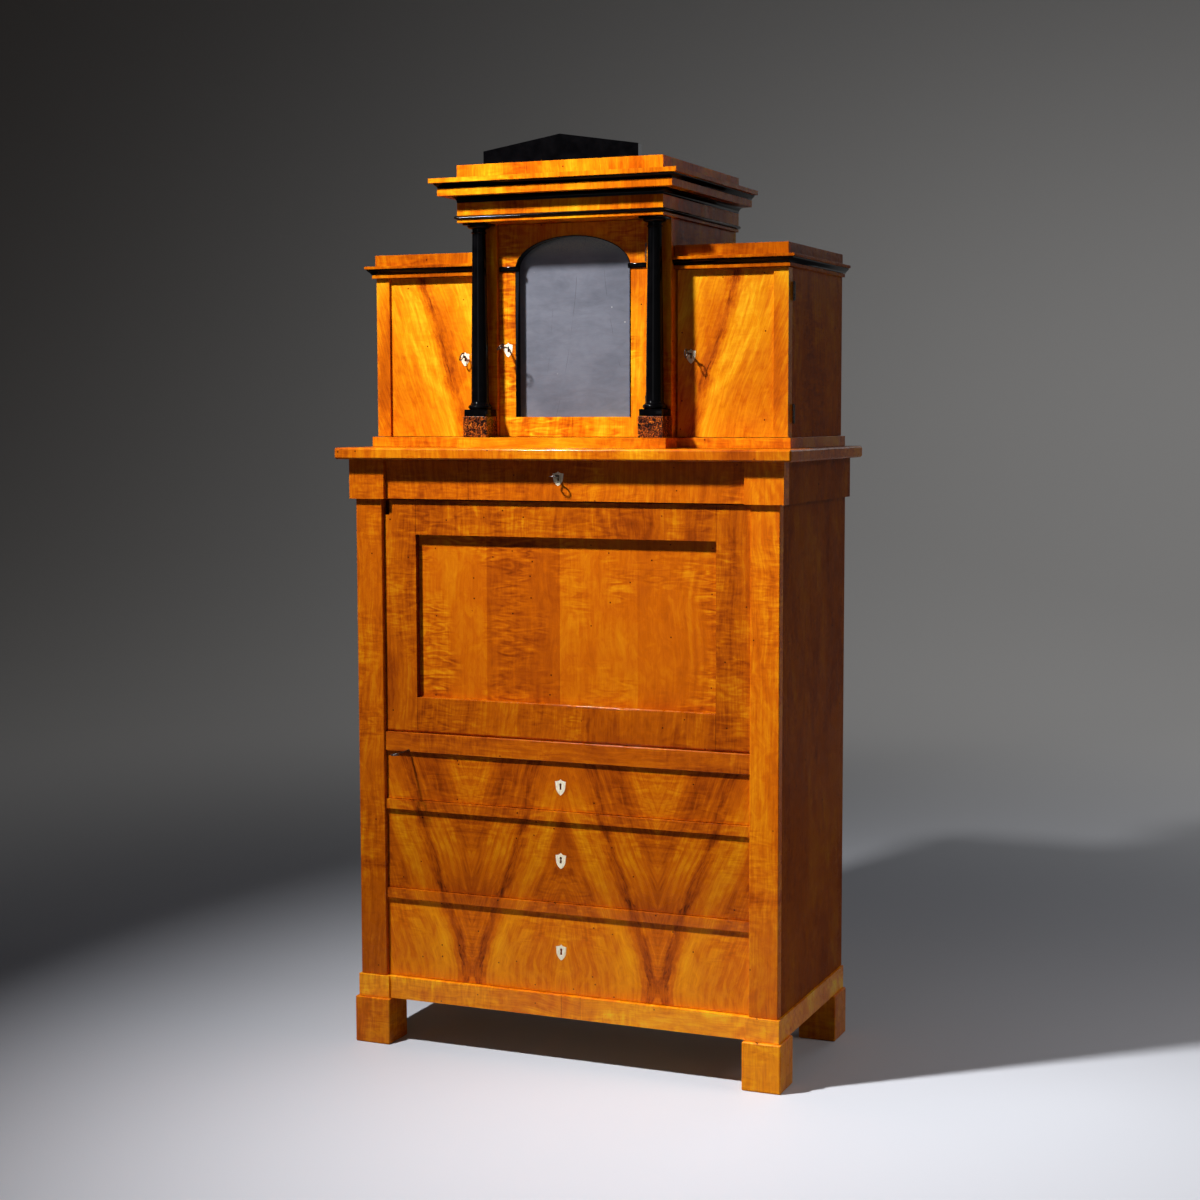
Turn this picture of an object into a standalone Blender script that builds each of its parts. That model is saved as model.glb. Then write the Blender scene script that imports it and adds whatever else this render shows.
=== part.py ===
"""Fall-front secretaire chest in honey-coloured veneer with ebonised mouldings.

Lengths are in metres. X runs to the viewer's right, Y runs from the front to the back,
Z is up and the feet stand on Z = 0. Depths are first measured from the front plane of the
pilasters; one empty then moves the whole piece so that the origin lies under its middle.
"""

import math

import bmesh
import bpy
from mathutils import Vector

# Overall
CLEARANCE = 0.0003            # gap left between touching pieces
CUT_OVERRUN = 0.004           # how far a cutter runs past the face it opens
SEAT_OVERLAP = 0.002          # how far joined shapes of one piece run into each other
CASE_HALF_WIDTH = 0.485       # outer face of the side panels
CASE_DEPTH = 0.467            # pilaster front to back face
PANEL_THICKNESS = 0.022       # side panels
ARRIS = 0.0012                # eased edge on the larger boards
BEVEL_PROFILE_SHARE = 0.5

# Feet and base frame
FOOT_HEIGHT = 0.1029
FOOT_WIDTH = 0.0846
FOOT_DEPTH = 0.0853
FOOT_OUT = 0.0107             # feet beyond the side panels
FOOT_FRONT = -0.0121
FOOT_REAR_OUT = 0.0018        # rear feet behind the back
FOOT_ARRIS = 0.002
BASE_HEIGHT = 0.0497
BASE_OUT = 0.0048
BASE_BLOCK_WIDTH = 0.075
BASE_BLOCK_FRONT = -0.0046
BASE_RAIL_FRONT = 0.001
BASE_RAIL_DEPTH = 0.03

# Pilasters and frieze
PILASTER_WIDTH = 0.0627
PILASTER_THICKNESS = 0.024
CASE_INNER_HEIGHT = 1.1426    # base frame to the underside of the top board
FRIEZE_HEIGHT = 0.0862
FRIEZE_OUT = 0.0109
FRIEZE_BLOCK_WIDTH = 0.0844
FRIEZE_BLOCK_FRONT = -0.0097

# Top board and stepped plinth of the upper part
TOP_BOARD_THICKNESS = 0.0251
TOP_BOARD_OUT = 0.0332
TOP_BOARD_FRONT = -0.0355
TOP_BOARD_REAR_OUT = 0.0203
TOP_BOARD_ARRIS = 0.0035
STEP_THICKNESS = 0.0218
STEP_INSET = 0.0021           # stepped plinth inside the line of the side panels
STEP_FRONT = 0.0734
STEP_REAR_OUT = 0.0036
BREAK_HALF_WIDTH = 0.2385
BREAK_FRONT = 0.002

# Boards inside the lower case
BOARD_THICKNESS = 0.016
BACK_THICKNESS = 0.010
BACK_FIELD_DEPTH = 0.003
BACK_STILE = 0.07
GUIDE_HEIGHT = 0.02
GUIDE_WIDTH = 0.022

# Drawers
RAIL_FRONT = 0.0055
RAIL_DEPTH = 0.055
RAIL_HEIGHT = 0.0216
SILL_HEIGHT = 0.0418
LOWER_DRAWER_HEIGHT = 0.1760
MIDDLE_DRAWER_HEIGHT = 0.1774
UPPER_DRAWER_HEIGHT = 0.1075
DRAWER_GAP = 0.0008           # running gap round a drawer front
DRAWER_FRONT = 0.012
DRAWER_FRONT_THICKNESS = 0.02
DRAWER_REAR_GAP = 0.037       # drawer box to the back of the case
DRAWER_SIDE = 0.012
DRAWER_BOTTOM = 0.007
DRAWER_HEADROOM = 0.008       # the sides stand this much lower than the front
DRAWER_SIDE_GAP = 0.001       # box to pilaster line
TAIL_LENGTH = 0.014
TAIL_PITCH = 0.036
TAIL_WIDE = 0.022
TAIL_NARROW = 0.013
FRIEZE_DRAWER_FRONT = 0.002
FRIEZE_BOX_INSET = 0.0125     # frieze drawer box inside the ends of its front
FRIEZE_REAR_GAP = 0.067

# Fall front
FLAP_FRONT = 0.0115
FLAP_THICKNESS = 0.026
FLAP_GAP = 0.0006
FLAP_HEAD_GAP = 0.0015
FLAP_STILE = 0.0765
FLAP_BOTTOM_RAIL = 0.0778
FLAP_TOP_RAIL = 0.0752
FLAP_PANEL_THICKNESS = 0.010
FLAP_PANEL_LAP = 0.008
FLAP_NOSE = 0.006             # rounded lower edge, also the pivot's inset
FLAP_SWING_GAP = 0.0015
NOTCH_WIDTH = 0.0125
NOTCH_HEIGHT = 0.033
BED_THICKNESS = 0.03
BED_REBATE = 0.002            # pigeonholes and stays stand this far below the writing surface

# Quadrant stays of the fall front
STAY_RADIUS = 0.200
STAY_WIDTH = 0.010
STAY_THICKNESS = 0.004
STAY_INSET = 0.006            # stay's outer face inside the flap's end
STAY_END_DEG = -12.0
LUG_WIDTH = 0.016
LUG_THICKNESS = 0.010
LUG_HALF_DEG = 2.0
STAY_PLATE_WIDTH = 0.018
STAY_PLATE_HEIGHT = 0.05
STAY_PLATE_THICKNESS = 0.002
STAY_SLOT_GAP = 0.001
STOP_DEPTH = 0.0055
STOP_HEIGHT = 0.03

# Desk interior
LINING_THICKNESS = 0.011
LINING_GAP = 0.0005
NEST_FRONT = 0.110
NEST_SIDE_GAP = 0.0183        # room for the stays beside the pigeonholes
NEST_BOARD = 0.009
NICHE_HALF_WIDTH = 0.125
NICHE_RISE = 0.06
ARCH_PLATE = 0.012
SIDE_SHELF_COUNT = 2
INNER_DRAWER_HEIGHT = 0.08
INNER_DRAWER_REAR_GAP = 0.0377
INNER_DRAWER_WALL = 0.006
INNER_DRAWER_GAP = 0.0007
GRIP_RADIUS = 0.014

# Iron pull through the sill rail
PULL_INSET = 0.0578           # pilaster to the rod
PULL_RISE = 0.0033            # axis above the underside of the sill rail
PULL_RADIUS = 0.0019
PULL_BORE_GAP = 0.0004
PULL_REACH = 0.068            # tip of the ring in front of the pilasters
PULL_TRAVEL = 0.020           # free run between the rail's back and the collar
PULL_RING_RADIUS = 0.0085
PULL_RING_THICKNESS = 0.0028
PULL_RING_WIDTH = 0.0035
PULL_COLLAR_RADIUS = 0.004
PULL_COLLAR_LENGTH = 0.004

# Side cupboards
CUPBOARD_INSET = 0.0093       # cupboard inside the end of the stepped plinth
CUPBOARD_SIDE_GAP = 0.0015    # cupboard to the tabernacle
CUPBOARD_HEIGHT = 0.3460      # step board to the lower fillet
CUPBOARD_DOOR_FRONT = 0.090
STRIP_PROUD = 0.0061
STRIP_WIDTH = 0.0315
CUPBOARD_DOOR_REAR = 0.110
CUPBOARD_WALL = 0.014
CUPBOARD_DOOR_GAP = 0.0008
CUPBOARD_INNER_GAP = 0.0042   # door edge to the tabernacle's side
KNUCKLE_RADIUS = 0.003
KNUCKLE_LENGTH = 0.037
KNUCKLE_INSET = 0.029         # door end to the nearer end of its knuckle
LEAF_THICKNESS = 0.0024

# Cornice of the cupboards, as heights and overhangs from the attic block's face
ATTIC_OUT = 0.0008            # attic block beyond the cupboard's side
ATTIC_FRONT = 0.080
LOW_FILLET_HEIGHT = 0.0077
OGEE_HEIGHT = 0.0116
TOP_FILLET_HEIGHT = 0.0060
ATTIC_HEIGHT = 0.0244
LOW_FILLET_OUT = 0.0055
TOP_FILLET_OUT = 0.0180
OGEE_FOOT_OUT = 0.0067
OGEE_HEAD_OUT = 0.0145
CORE_IN = 0.004

# Tabernacle with its mirror door
TAB_HALF_WIDTH = 0.2268
TAB_FRONT = 0.065
TAB_HEIGHT = 0.4519           # step board to the entablature
TAB_WALL = 0.014
TAB_STILE = 0.0548
MIRROR_DOOR_FRONT = 0.074
MIRROR_DOOR_THICKNESS = 0.028
MIRROR_DOOR_GAP = 0.0015
MIRROR_HALF_WIDTH = 0.1322
MIRROR_BOTTOM_RAIL = 0.0421
MIRROR_SPRING = 0.356         # door foot to the springing of the arch
MIRROR_RISE = 0.067
GLASS_THICKNESS = 0.004
GLASS_SET_BACK = 0.0205
GLASS_LAP = 0.0075
EDGE_THICKNESS = 0.0016
EDGE_PROUD = 0.0015
IMPOST_HEIGHT = 0.0105
IMPOST_PROUD = 0.004
IMPOST_TIP = 0.0035
IMPOST_BEVEL = 0.0012
IMPOST_END_GAP = 0.0015
MIRROR_KNUCKLE_RADIUS = 0.0025
MIRROR_KNUCKLE_LENGTH = 0.036
MIRROR_KNUCKLE_INSET = 0.05

# Entablature, as heights and overhangs from the frieze face
ENT_HALF_WIDTH = 0.2332
ENT_FRONT = 0.0007
ARCHITRAVE_HEIGHT = 0.0062
BEAD_HEIGHT = 0.0082
BEAD_OUT = 0.005
UPPER_FRIEZE_HEIGHT = 0.0267
COVE_HEIGHT = 0.0130
COVE_OUT = 0.0112
CORONA_HEIGHT = 0.0152
CORONA_OUT = 0.0310
CYMA_HEIGHT = 0.0108
CYMA_FOOT_OUT = 0.0300
CYMA_HEAD_OUT = 0.0372
CYMA_SEAT = 0.020
CROWN_FILLET_HEIGHT = 0.0095
CROWN_FILLET_OUT = 0.0450
CROWN_ATTIC_HEIGHT = 0.0301

# Pediment board
PEDIMENT_HALF_WIDTH = 0.1751
PEDIMENT_EDGE_HEIGHT = 0.0268
PEDIMENT_HEIGHT = 0.0547
PEDIMENT_SET_BACK = 0.0094
PEDIMENT_THICKNESS = 0.020

# Columns and pedestals
COLUMN_X = 0.2004
COLUMN_Y = 0.0385
PEDESTAL_HALF_WIDTH = 0.02765
PEDESTAL_FRONT = 0.0115
PEDESTAL_HEIGHT = 0.0440
PLINTH_HALF = 0.0255
PLINTH_HEIGHT = 0.0147
ABACUS_HALF = 0.026
ABACUS_HEIGHT = 0.0042
COLUMN_SIDES = 32
TORUS_RADIUS = 0.0255
TORUS_HEIGHT = 0.0105
TORUS_BULGE_SHARE = 0.14
SHAFT_FOOT_RADIUS = 0.0187
SHAFT_HEAD_RADIUS = 0.0143
BASE_FILLET_RADIUS = 0.0208
BASE_FILLET_HEIGHT = 0.0022
FLARE_HEIGHT = 0.0055
ASTRAGAL_RADIUS = 0.0166
ASTRAGAL_HEIGHT = 0.0036
NECK_HEIGHT = 0.0062
ECHINUS_HEIGHT = 0.0070
ECHINUS_RADIUS = 0.0250
ECHINUS_TAPER = 0.0015
ECHINUS_FOOT_RADIUS = 0.0190

# Shields, keys and lock mortises
SHIELD_WIDTH = 0.0246
SHIELD_HEIGHT = 0.0352
SMALL_SHIELD_WIDTH = 0.0215
SMALL_SHIELD_HEIGHT = 0.0305
SHIELD_THICKNESS = 0.0016
SHIELD_SINK = 0.0012
KEYHOLE_RADIUS_SHARE = 0.078   # of the shield's height, as are the two below
KEYHOLE_DROP_SHARE = 0.32      # eye to the foot of the slot
KEYHOLE_FOOT_SHARE = 0.14      # width at the foot
BORE_DEPTH = 0.013
DRAWER_LOCK_X = -0.0045
FRIEZE_LOCK_X = -0.0028
FRIEZE_SHIELD_RISE = 0.0049
MIRROR_LOCK_INSET = 0.0205
MIRROR_LOCK_DROP = 0.040      # below the door's middle
CUPBOARD_LOCK_INSET = 0.0297
CUPBOARD_LOCK_DROP = 0.0053
UPPER_SHIELD_DROP = 0.0557    # top of the opening to the shield's middle
LONG_SHIELD_DROP = 0.0858
EYE_RISE_SHARE = 0.17         # keyhole's eye above the shield's middle, by its height
KEY_SHANK_RADIUS = 0.0019
KEY_BOW_RADIUS = 0.0070
KEY_BOW_WIRE = 0.0015
KEY_BOW_LENGTHEN = 1.2
KEY_COLLAR_RADIUS = 0.0031
KEY_COLLAR_LENGTH = 0.0028
KEY_BIT_LENGTH = 0.0065
KEY_BIT_WIDTH = 0.0055
KEY_BIT_THICKNESS = 0.0018
KEY_BIT_CLEAR = 0.0012
MORTISE_RADIUS = 0.0105
FRIEZE_KEY_REACH = 0.030
MIRROR_KEY_REACH = 0.046
RIGHT_KEY_REACH = 0.037
LEFT_KEY_REACH = 0.0235
FRIEZE_BOW_DEG = 90.0
MIRROR_BOW_DEG = 50.0
RIGHT_BOW_DEG = 0.0
LEFT_BOW_DEG = 25.0

# Places worked out from the sizes above
FOOT_HALF_SPREAD = CASE_HALF_WIDTH + FOOT_OUT
FOOT_REAR = CASE_DEPTH + FOOT_REAR_OUT
BASE_HALF_WIDTH = CASE_HALF_WIDTH + BASE_OUT
FRIEZE_HALF_WIDTH = CASE_HALF_WIDTH + FRIEZE_OUT
TOP_BOARD_HALF_WIDTH = CASE_HALF_WIDTH + TOP_BOARD_OUT
TOP_BOARD_REAR = CASE_DEPTH + TOP_BOARD_REAR_OUT
STEP_HALF_WIDTH = CASE_HALF_WIDTH - STEP_INSET
STEP_REAR = CASE_DEPTH + STEP_REAR_OUT
CUPBOARD_HALF_SPREAD = STEP_HALF_WIDTH - CUPBOARD_INSET
ATTIC_HALF_SPREAD = CUPBOARD_HALF_SPREAD + ATTIC_OUT
DRAWER_BOX_REAR = CASE_DEPTH - DRAWER_REAR_GAP
FRIEZE_BOX_REAR = CASE_DEPTH - FRIEZE_REAR_GAP
BASE_TOP = FOOT_HEIGHT + BASE_HEIGHT
CASE_FOOT = BASE_TOP + CLEARANCE
RAIL_2_FOOT = CASE_FOOT + LOWER_DRAWER_HEIGHT
RAIL_2_TOP = RAIL_2_FOOT + RAIL_HEIGHT
RAIL_1_FOOT = RAIL_2_TOP + MIDDLE_DRAWER_HEIGHT
RAIL_1_TOP = RAIL_1_FOOT + RAIL_HEIGHT
SILL_FOOT = RAIL_1_TOP + UPPER_DRAWER_HEIGHT
SILL_TOP = SILL_FOOT + SILL_HEIGHT
CASE_TOP = CASE_FOOT + CASE_INNER_HEIGHT
FRIEZE_FOOT = CASE_TOP - FRIEZE_HEIGHT
TOP_BOARD_FOOT = CASE_TOP + CLEARANCE
TOP_BOARD_TOP = TOP_BOARD_FOOT + TOP_BOARD_THICKNESS
STEP_FOOT = TOP_BOARD_TOP + CLEARANCE
STEP_TOP = STEP_FOOT + STEP_THICKNESS
UPPER_FOOT = STEP_TOP + CLEARANCE
FLAP_FOOT = SILL_TOP + FLAP_GAP
FLAP_TOP = FRIEZE_FOOT - FLAP_HEAD_GAP
FLAP_REAR = FLAP_FRONT + FLAP_THICKNESS
PIVOT_Y = FLAP_FRONT + FLAP_NOSE
PIVOT_Z = FLAP_FOOT + FLAP_NOSE
BED_TOP = FLAP_FOOT + FLAP_THICKNESS
BED_FRONT = FLAP_REAR + FLAP_SWING_GAP
NEST_FOOT = BED_TOP - BED_REBATE + CLEARANCE
OPENING_HALF = CASE_HALF_WIDTH - PILASTER_WIDTH
NEST_HALF_WIDTH = OPENING_HALF - NEST_SIDE_GAP
PULL_X = PULL_INSET - OPENING_HALF
INNER_HALF = CASE_HALF_WIDTH - PANEL_THICKNESS - CLEARANCE
BACK_FRONT = CASE_DEPTH - BACK_THICKNESS
BOARD_REAR = BACK_FRONT - CLEARANCE
NEST_REAR = BOARD_REAR - NEST_BOARD
BEHIND_PILASTER = PILASTER_THICKNESS + CLEARANCE
DRAWER_HALF = OPENING_HALF - DRAWER_GAP
FLAP_HALF = OPENING_HALF - DRAWER_GAP
CUPBOARD_TOP = UPPER_FOOT + CUPBOARD_HEIGHT
TAB_TOP = UPPER_FOOT + TAB_HEIGHT
ORIGIN_Y = (TOP_BOARD_REAR - PULL_REACH) / 2

SIDES = (("left", -1), ("right", 1))


# Scene set-up: everything old goes, one empty carries the whole piece
for old in list(bpy.data.objects):
    bpy.data.objects.remove(old)

pivot_points = {}


def add_pivot(name, point, parent=None):
    """An empty on a joint axis; the pieces of that body hang under it."""
    empty = bpy.data.objects.new(name, None)
    bpy.context.collection.objects.link(empty)
    pivot_points[name] = Vector(point)
    empty.parent = bpy.data.objects[parent] if parent else None
    empty.location = Vector(point) - (pivot_points[parent] if parent else Vector((0, ORIGIN_Y, 0)))
    return empty


add_pivot("case", (0, 0, 0))


def carry(piece, body):
    """Hangs a piece, modelled in place, under its body's empty."""
    piece.parent = bpy.data.objects[body]
    piece.location = -pivot_points[body]
    return piece


finishes = {}


def finish(name, colour, roughness, metallic=0.0):
    """One Principled material, made once and shared."""
    if name not in finishes:
        made = bpy.data.materials.new(name)
        made.use_nodes = True
        shader = made.node_tree.nodes["Principled BSDF"]
        shader.inputs["Base Color"].default_value = (*colour, 1)
        shader.inputs["Roughness"].default_value = roughness
        shader.inputs["Metallic"].default_value = metallic
        finishes[name] = made
    return finishes[name]


def honey():
    return finish("honey_veneer", (0.62, 0.24, 0.035), 0.32)


def ebonised():
    return finish("ebonised_wood", (0.010, 0.009, 0.010), 0.18)


def softwood():
    return finish("softwood", (0.50, 0.31, 0.15), 0.7)


def burl():
    return finish("burl_veneer", (0.42, 0.13, 0.02), 0.3)


def iron():
    return finish("wrought_iron", (0.12, 0.11, 0.11), 0.4, 1.0)


def brass():
    return finish("brass", (0.60, 0.42, 0.16), 0.35, 1.0)


def bone():
    return finish("bone", (0.82, 0.74, 0.55), 0.4)


def silvered():
    return finish("mirror_glass", (0.30, 0.32, 0.37), 0.08, 1.0)


# Modelling helpers
def object_from(mesh_data, name, surface):
    """Closes a bmesh into an object with outward faces."""
    bmesh.ops.recalc_face_normals(mesh_data, faces=mesh_data.faces)
    mesh = bpy.data.meshes.new(name)
    mesh_data.to_mesh(mesh)
    mesh_data.free()
    made = bpy.data.objects.new(name, mesh)
    if surface:
        made.data.materials.append(surface)
    bpy.context.collection.objects.link(made)
    return made


def block(name, low, high, surface, arris=0):
    """A board between two corners, its edges eased by one small flat."""
    mesh_data = bmesh.new()
    bmesh.ops.create_cube(mesh_data, size=1)
    for corner in mesh_data.verts:
        corner.co = [far if share > 0 else near for share, near, far in zip(corner.co, low, high)]
    if arris:
        bmesh.ops.bevel(mesh_data, geom=mesh_data.edges[:], offset=arris, segments=1, affect="EDGES",
                        profile=BEVEL_PROFILE_SHARE)
    return object_from(mesh_data, name, surface)


def prism(name, outline, axis, low, high, surface):
    """An outline pushed along one axis: X takes (y, z), Y takes (x, z) and Z takes (x, y)."""
    places = {
        "X": lambda u, v, w: (w, u, v),
        "Y": lambda u, v, w: (u, w, v),
        "Z": lambda u, v, w: (u, v, w),
    }
    mesh_data = bmesh.new()
    corners = [mesh_data.verts.new(places[axis](u, v, low)) for u, v in outline]
    face = mesh_data.faces.new(corners)
    pushed = bmesh.ops.extrude_face_region(mesh_data, geom=[face])
    moved = [item for item in pushed["geom"] if isinstance(item, bmesh.types.BMVert)]
    bmesh.ops.translate(mesh_data, vec=Vector(places[axis](0, 0, high - low)), verts=moved)
    bmesh.ops.triangulate(mesh_data, faces=[f for f in mesh_data.faces if len(f.verts) > 4])
    return object_from(mesh_data, name, surface)


def turned(name, profile, centre, sides, surface):
    """A turned shape from (radius, height) pairs, bottom to top, about a vertical axis."""
    mesh_data = bmesh.new()
    outline = [mesh_data.verts.new((radius, 0, height)) for radius, height in profile]
    for lower, upper in zip(outline, outline[1:]):
        mesh_data.edges.new((lower, upper))
    bmesh.ops.spin(mesh_data, geom=mesh_data.verts[:] + mesh_data.edges[:], cent=(0, 0, 0),
                   axis=(0, 0, 1), angle=math.tau, steps=sides, use_merge=True)
    bmesh.ops.remove_doubles(mesh_data, verts=mesh_data.verts, dist=CLEARANCE / 10)
    rims = [edge for edge in mesh_data.edges if edge.is_boundary]
    bmesh.ops.holes_fill(mesh_data, edges=rims, sides=0)
    bmesh.ops.translate(mesh_data, vec=Vector((centre[0], centre[1], 0)), verts=mesh_data.verts)
    made = object_from(mesh_data, name, surface)
    made.data.shade_smooth()
    made.data.set_sharp_from_angle(angle=math.radians(35))
    return made


def rod(name, start, end, radius, sides, surface):
    """A round bar between two points."""
    mesh_data = bmesh.new()
    run = Vector(end) - Vector(start)
    bmesh.ops.create_cone(mesh_data, cap_ends=True, segments=sides, radius1=radius, radius2=radius,
                          depth=run.length)
    turn = run.to_track_quat("Z", "Y").to_matrix()
    bmesh.ops.rotate(mesh_data, verts=mesh_data.verts, cent=(0, 0, 0), matrix=turn)
    bmesh.ops.translate(mesh_data, vec=(Vector(start) + Vector(end)) / 2, verts=mesh_data.verts)
    made = object_from(mesh_data, name, surface)
    made.data.shade_smooth()
    made.data.set_sharp_from_angle(angle=math.radians(35))
    return made


def add_tiers(carrier, name, tiers, extent):
    """Joins one slab per (overhang, foot, head); extent turns an overhang into X and front Y."""
    for number, (out, foot, head) in enumerate(tiers):
        low_x, high_x, front = extent(out)
        unite(carrier, block(f"{name}_{number}", (low_x, front, foot), (high_x, STEP_REAR, head), None))


def swept(name, profile, stations, surface):
    """A moulding of (overhang, height) points, mitred from station to station."""
    mesh_data = bmesh.new()
    first = stations[0]
    end = mesh_data.faces.new([mesh_data.verts.new((*first(out), height)) for out, height in profile])
    for number, station in enumerate(stations[1:]):
        pushed = bmesh.ops.extrude_face_region(mesh_data, geom=[end])
        if number:
            bmesh.ops.delete(mesh_data, geom=[end], context="FACES_ONLY")
        end = next(item for item in pushed["geom"] if isinstance(item, bmesh.types.BMFace))
        for vertex, (out, height) in zip(end.verts, profile):
            vertex.co = (*station(out), height)
    bmesh.ops.triangulate(mesh_data, faces=[f for f in mesh_data.faces if len(f.verts) > 4])
    return object_from(mesh_data, name, surface)


def boolean(piece, tool, operation):
    """Keeps one Boolean live on the piece and hides its tool."""
    step = piece.modifiers.new(tool.name, "BOOLEAN")
    step.operation = operation
    step.solver = "EXACT"
    step.object = tool
    tool.hide_render = True
    tool.display_type = "WIRE"
    tool.parent = piece.parent
    tool.location = piece.location
    return piece


def cut(piece, tool):
    return boolean(piece, tool, "DIFFERENCE")


def unite(piece, tool):
    return boolean(piece, tool, "UNION")


def mirrored(side, x):
    """A place measured on the right-hand side, taken to either side."""
    return side * x


def span(side, inner, outer):
    """Low and high X of a right-hand stretch, on either side."""
    return (inner, outer) if side > 0 else (-outer, -inner)


# Shields and keyholes. The shield's outline as shares of its half width and half height.
SHIELD_SHARES = (
    (0.00, 1.00), (-0.15, 0.88), (-0.35, 0.80), (-0.62, 0.745), (-1.00, 0.71), (-0.96, 0.50),
    (-0.93, 0.25), (-0.90, -0.05), (-0.82, -0.28), (-0.64, -0.54), (-0.36, -0.80), (0.00, -1.00),
    (0.36, -0.80), (0.64, -0.54), (0.82, -0.28), (0.90, -0.05), (0.93, 0.25), (0.96, 0.50),
    (1.00, 0.71), (0.62, 0.745), (0.35, 0.80), (0.15, 0.88),
)
KEYHOLE_STEPS = 10


def shield_outline(centre, width, height, grow):
    x, z = centre
    half_width = width / 2 + grow
    half_height = height / 2 + grow
    return [(x + u * half_width, z + v * half_height) for u, v in SHIELD_SHARES]


def keyhole_outline(eye, height, grow):
    """Round eye over a slot that widens towards its foot."""
    x, z = eye
    radius = height * KEYHOLE_RADIUS_SHARE + grow
    half_foot = height * KEYHOLE_FOOT_SHARE / 2 + grow
    foot = z - height * KEYHOLE_DROP_SHARE - grow
    outline = [(x - half_foot, foot)]
    start = math.radians(232)
    sweep = math.radians(284)
    for step in range(KEYHOLE_STEPS + 1):
        angle = start - sweep * step / KEYHOLE_STEPS
        outline.append((x + radius * math.cos(angle), z + radius * math.sin(angle)))
    outline.append((x + half_foot, foot))
    return outline


def add_shield(name, carrier, body, centre, front, width, height):
    """A bone shield let into the carrier's front, with its pocket and the keyhole behind it."""
    eye = (centre[0], centre[1] + height * EYE_RISE_SHARE)
    shield = prism(name, shield_outline(centre, width, height, 0), "Y",
                   front + SHIELD_SINK - SHIELD_THICKNESS, front + SHIELD_SINK, bone())
    carry(shield, body)
    hole = prism(name + "_hole", keyhole_outline(eye, height, 0), "Y", front - CUT_OVERRUN,
                 front + CUT_OVERRUN, None)
    cut(shield, hole)
    pocket = prism(name + "_pocket", shield_outline(centre, width, height, CLEARANCE), "Y",
                   front - CUT_OVERRUN, front + SHIELD_SINK + CLEARANCE, None)
    cut(carrier, pocket)
    bore = prism(name + "_bore", keyhole_outline(eye, height, CLEARANCE), "Y",
                 front - CUT_OVERRUN, front + BORE_DEPTH, None)
    cut(carrier, bore)
    return eye


def add_mortise(name, carrier, eye, floor, back):
    """The lock's mortise, open at the back of the carrier, where the key's bit turns."""
    mortise = rod(name, (eye[0], floor, eye[1]), (eye[0], back + CUT_OVERRUN, eye[1]),
                  MORTISE_RADIUS, 20, None)
    cut(carrier, mortise)


# Keys: a ring bow, a shank with a collar and a bit at its end
BOW_STEPS = 16
WIRE_STEPS = 8


def ring(name, centre, radius, wire, lengthen, surface):
    """An upright oval ring in the plane of Y and Z."""
    mesh_data = bmesh.new()
    section = bmesh.ops.create_circle(mesh_data, segments=WIRE_STEPS, radius=wire)
    bmesh.ops.translate(mesh_data, verts=section["verts"], vec=(0, radius, 0))
    bmesh.ops.spin(mesh_data, geom=mesh_data.verts[:] + mesh_data.edges[:], cent=(0, 0, 0),
                   axis=(1, 0, 0), angle=math.tau, steps=BOW_STEPS, use_merge=True)
    bmesh.ops.remove_doubles(mesh_data, verts=mesh_data.verts, dist=CLEARANCE / 10)
    bmesh.ops.scale(mesh_data, vec=(1, 1, lengthen), verts=mesh_data.verts)
    bmesh.ops.translate(mesh_data, vec=Vector(centre), verts=mesh_data.verts)
    made = object_from(mesh_data, name, surface)
    made.data.shade_smooth()
    return made


def add_key(name, body, parent, eye, front, reach, bow_angle):
    """A key in its lock; its empty stands on the shank's axis at the shield."""
    point = (eye[0], front, eye[1])
    add_pivot(body, point, parent)
    mortise_floor = front + BORE_DEPTH
    tip = mortise_floor + KEY_BIT_CLEAR + KEY_BIT_WIDTH
    bow_y = front - reach + KEY_BOW_RADIUS
    shank = rod(name, (eye[0], bow_y + KEY_BOW_RADIUS - KEY_BOW_WIRE, eye[1]), (eye[0], tip, eye[1]),
                KEY_SHANK_RADIUS, 10, iron())
    carry(shank, body)
    collar_y = bow_y + KEY_BOW_RADIUS + KEY_COLLAR_LENGTH
    collar = rod(name + "_collar", (eye[0], collar_y, eye[1]),
                 (eye[0], collar_y + KEY_COLLAR_LENGTH, eye[1]), KEY_COLLAR_RADIUS, 12, iron())
    unite(shank, collar)
    bow = ring(name + "_bow", (eye[0], bow_y, eye[1]), KEY_BOW_RADIUS, KEY_BOW_WIRE,
               KEY_BOW_LENGTHEN, iron())
    unite(shank, bow)
    bit = block(name + "_bit",
                (eye[0] - KEY_BIT_THICKNESS / 2, tip - KEY_BIT_WIDTH, eye[1] - KEY_BIT_LENGTH),
                (eye[0] + KEY_BIT_THICKNESS / 2, tip - CLEARANCE, eye[1]), iron())
    unite(shank, bit)
    bpy.data.objects[body].rotation_euler = (0, math.radians(bow_angle), 0)
    return shank


# Feet and base frame
def build_feet():
    for side_name, side in SIDES:
        low_x, high_x = span(side, FOOT_HALF_SPREAD - FOOT_WIDTH, FOOT_HALF_SPREAD)
        for end_name, front in (("front", FOOT_FRONT), ("rear", FOOT_REAR - FOOT_DEPTH)):
            foot = block(f"foot_{end_name}_{side_name}", (low_x, front, 0),
                         (high_x, front + FOOT_DEPTH, FOOT_HEIGHT), honey(), FOOT_ARRIS)
            carry(foot, "case")


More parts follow.
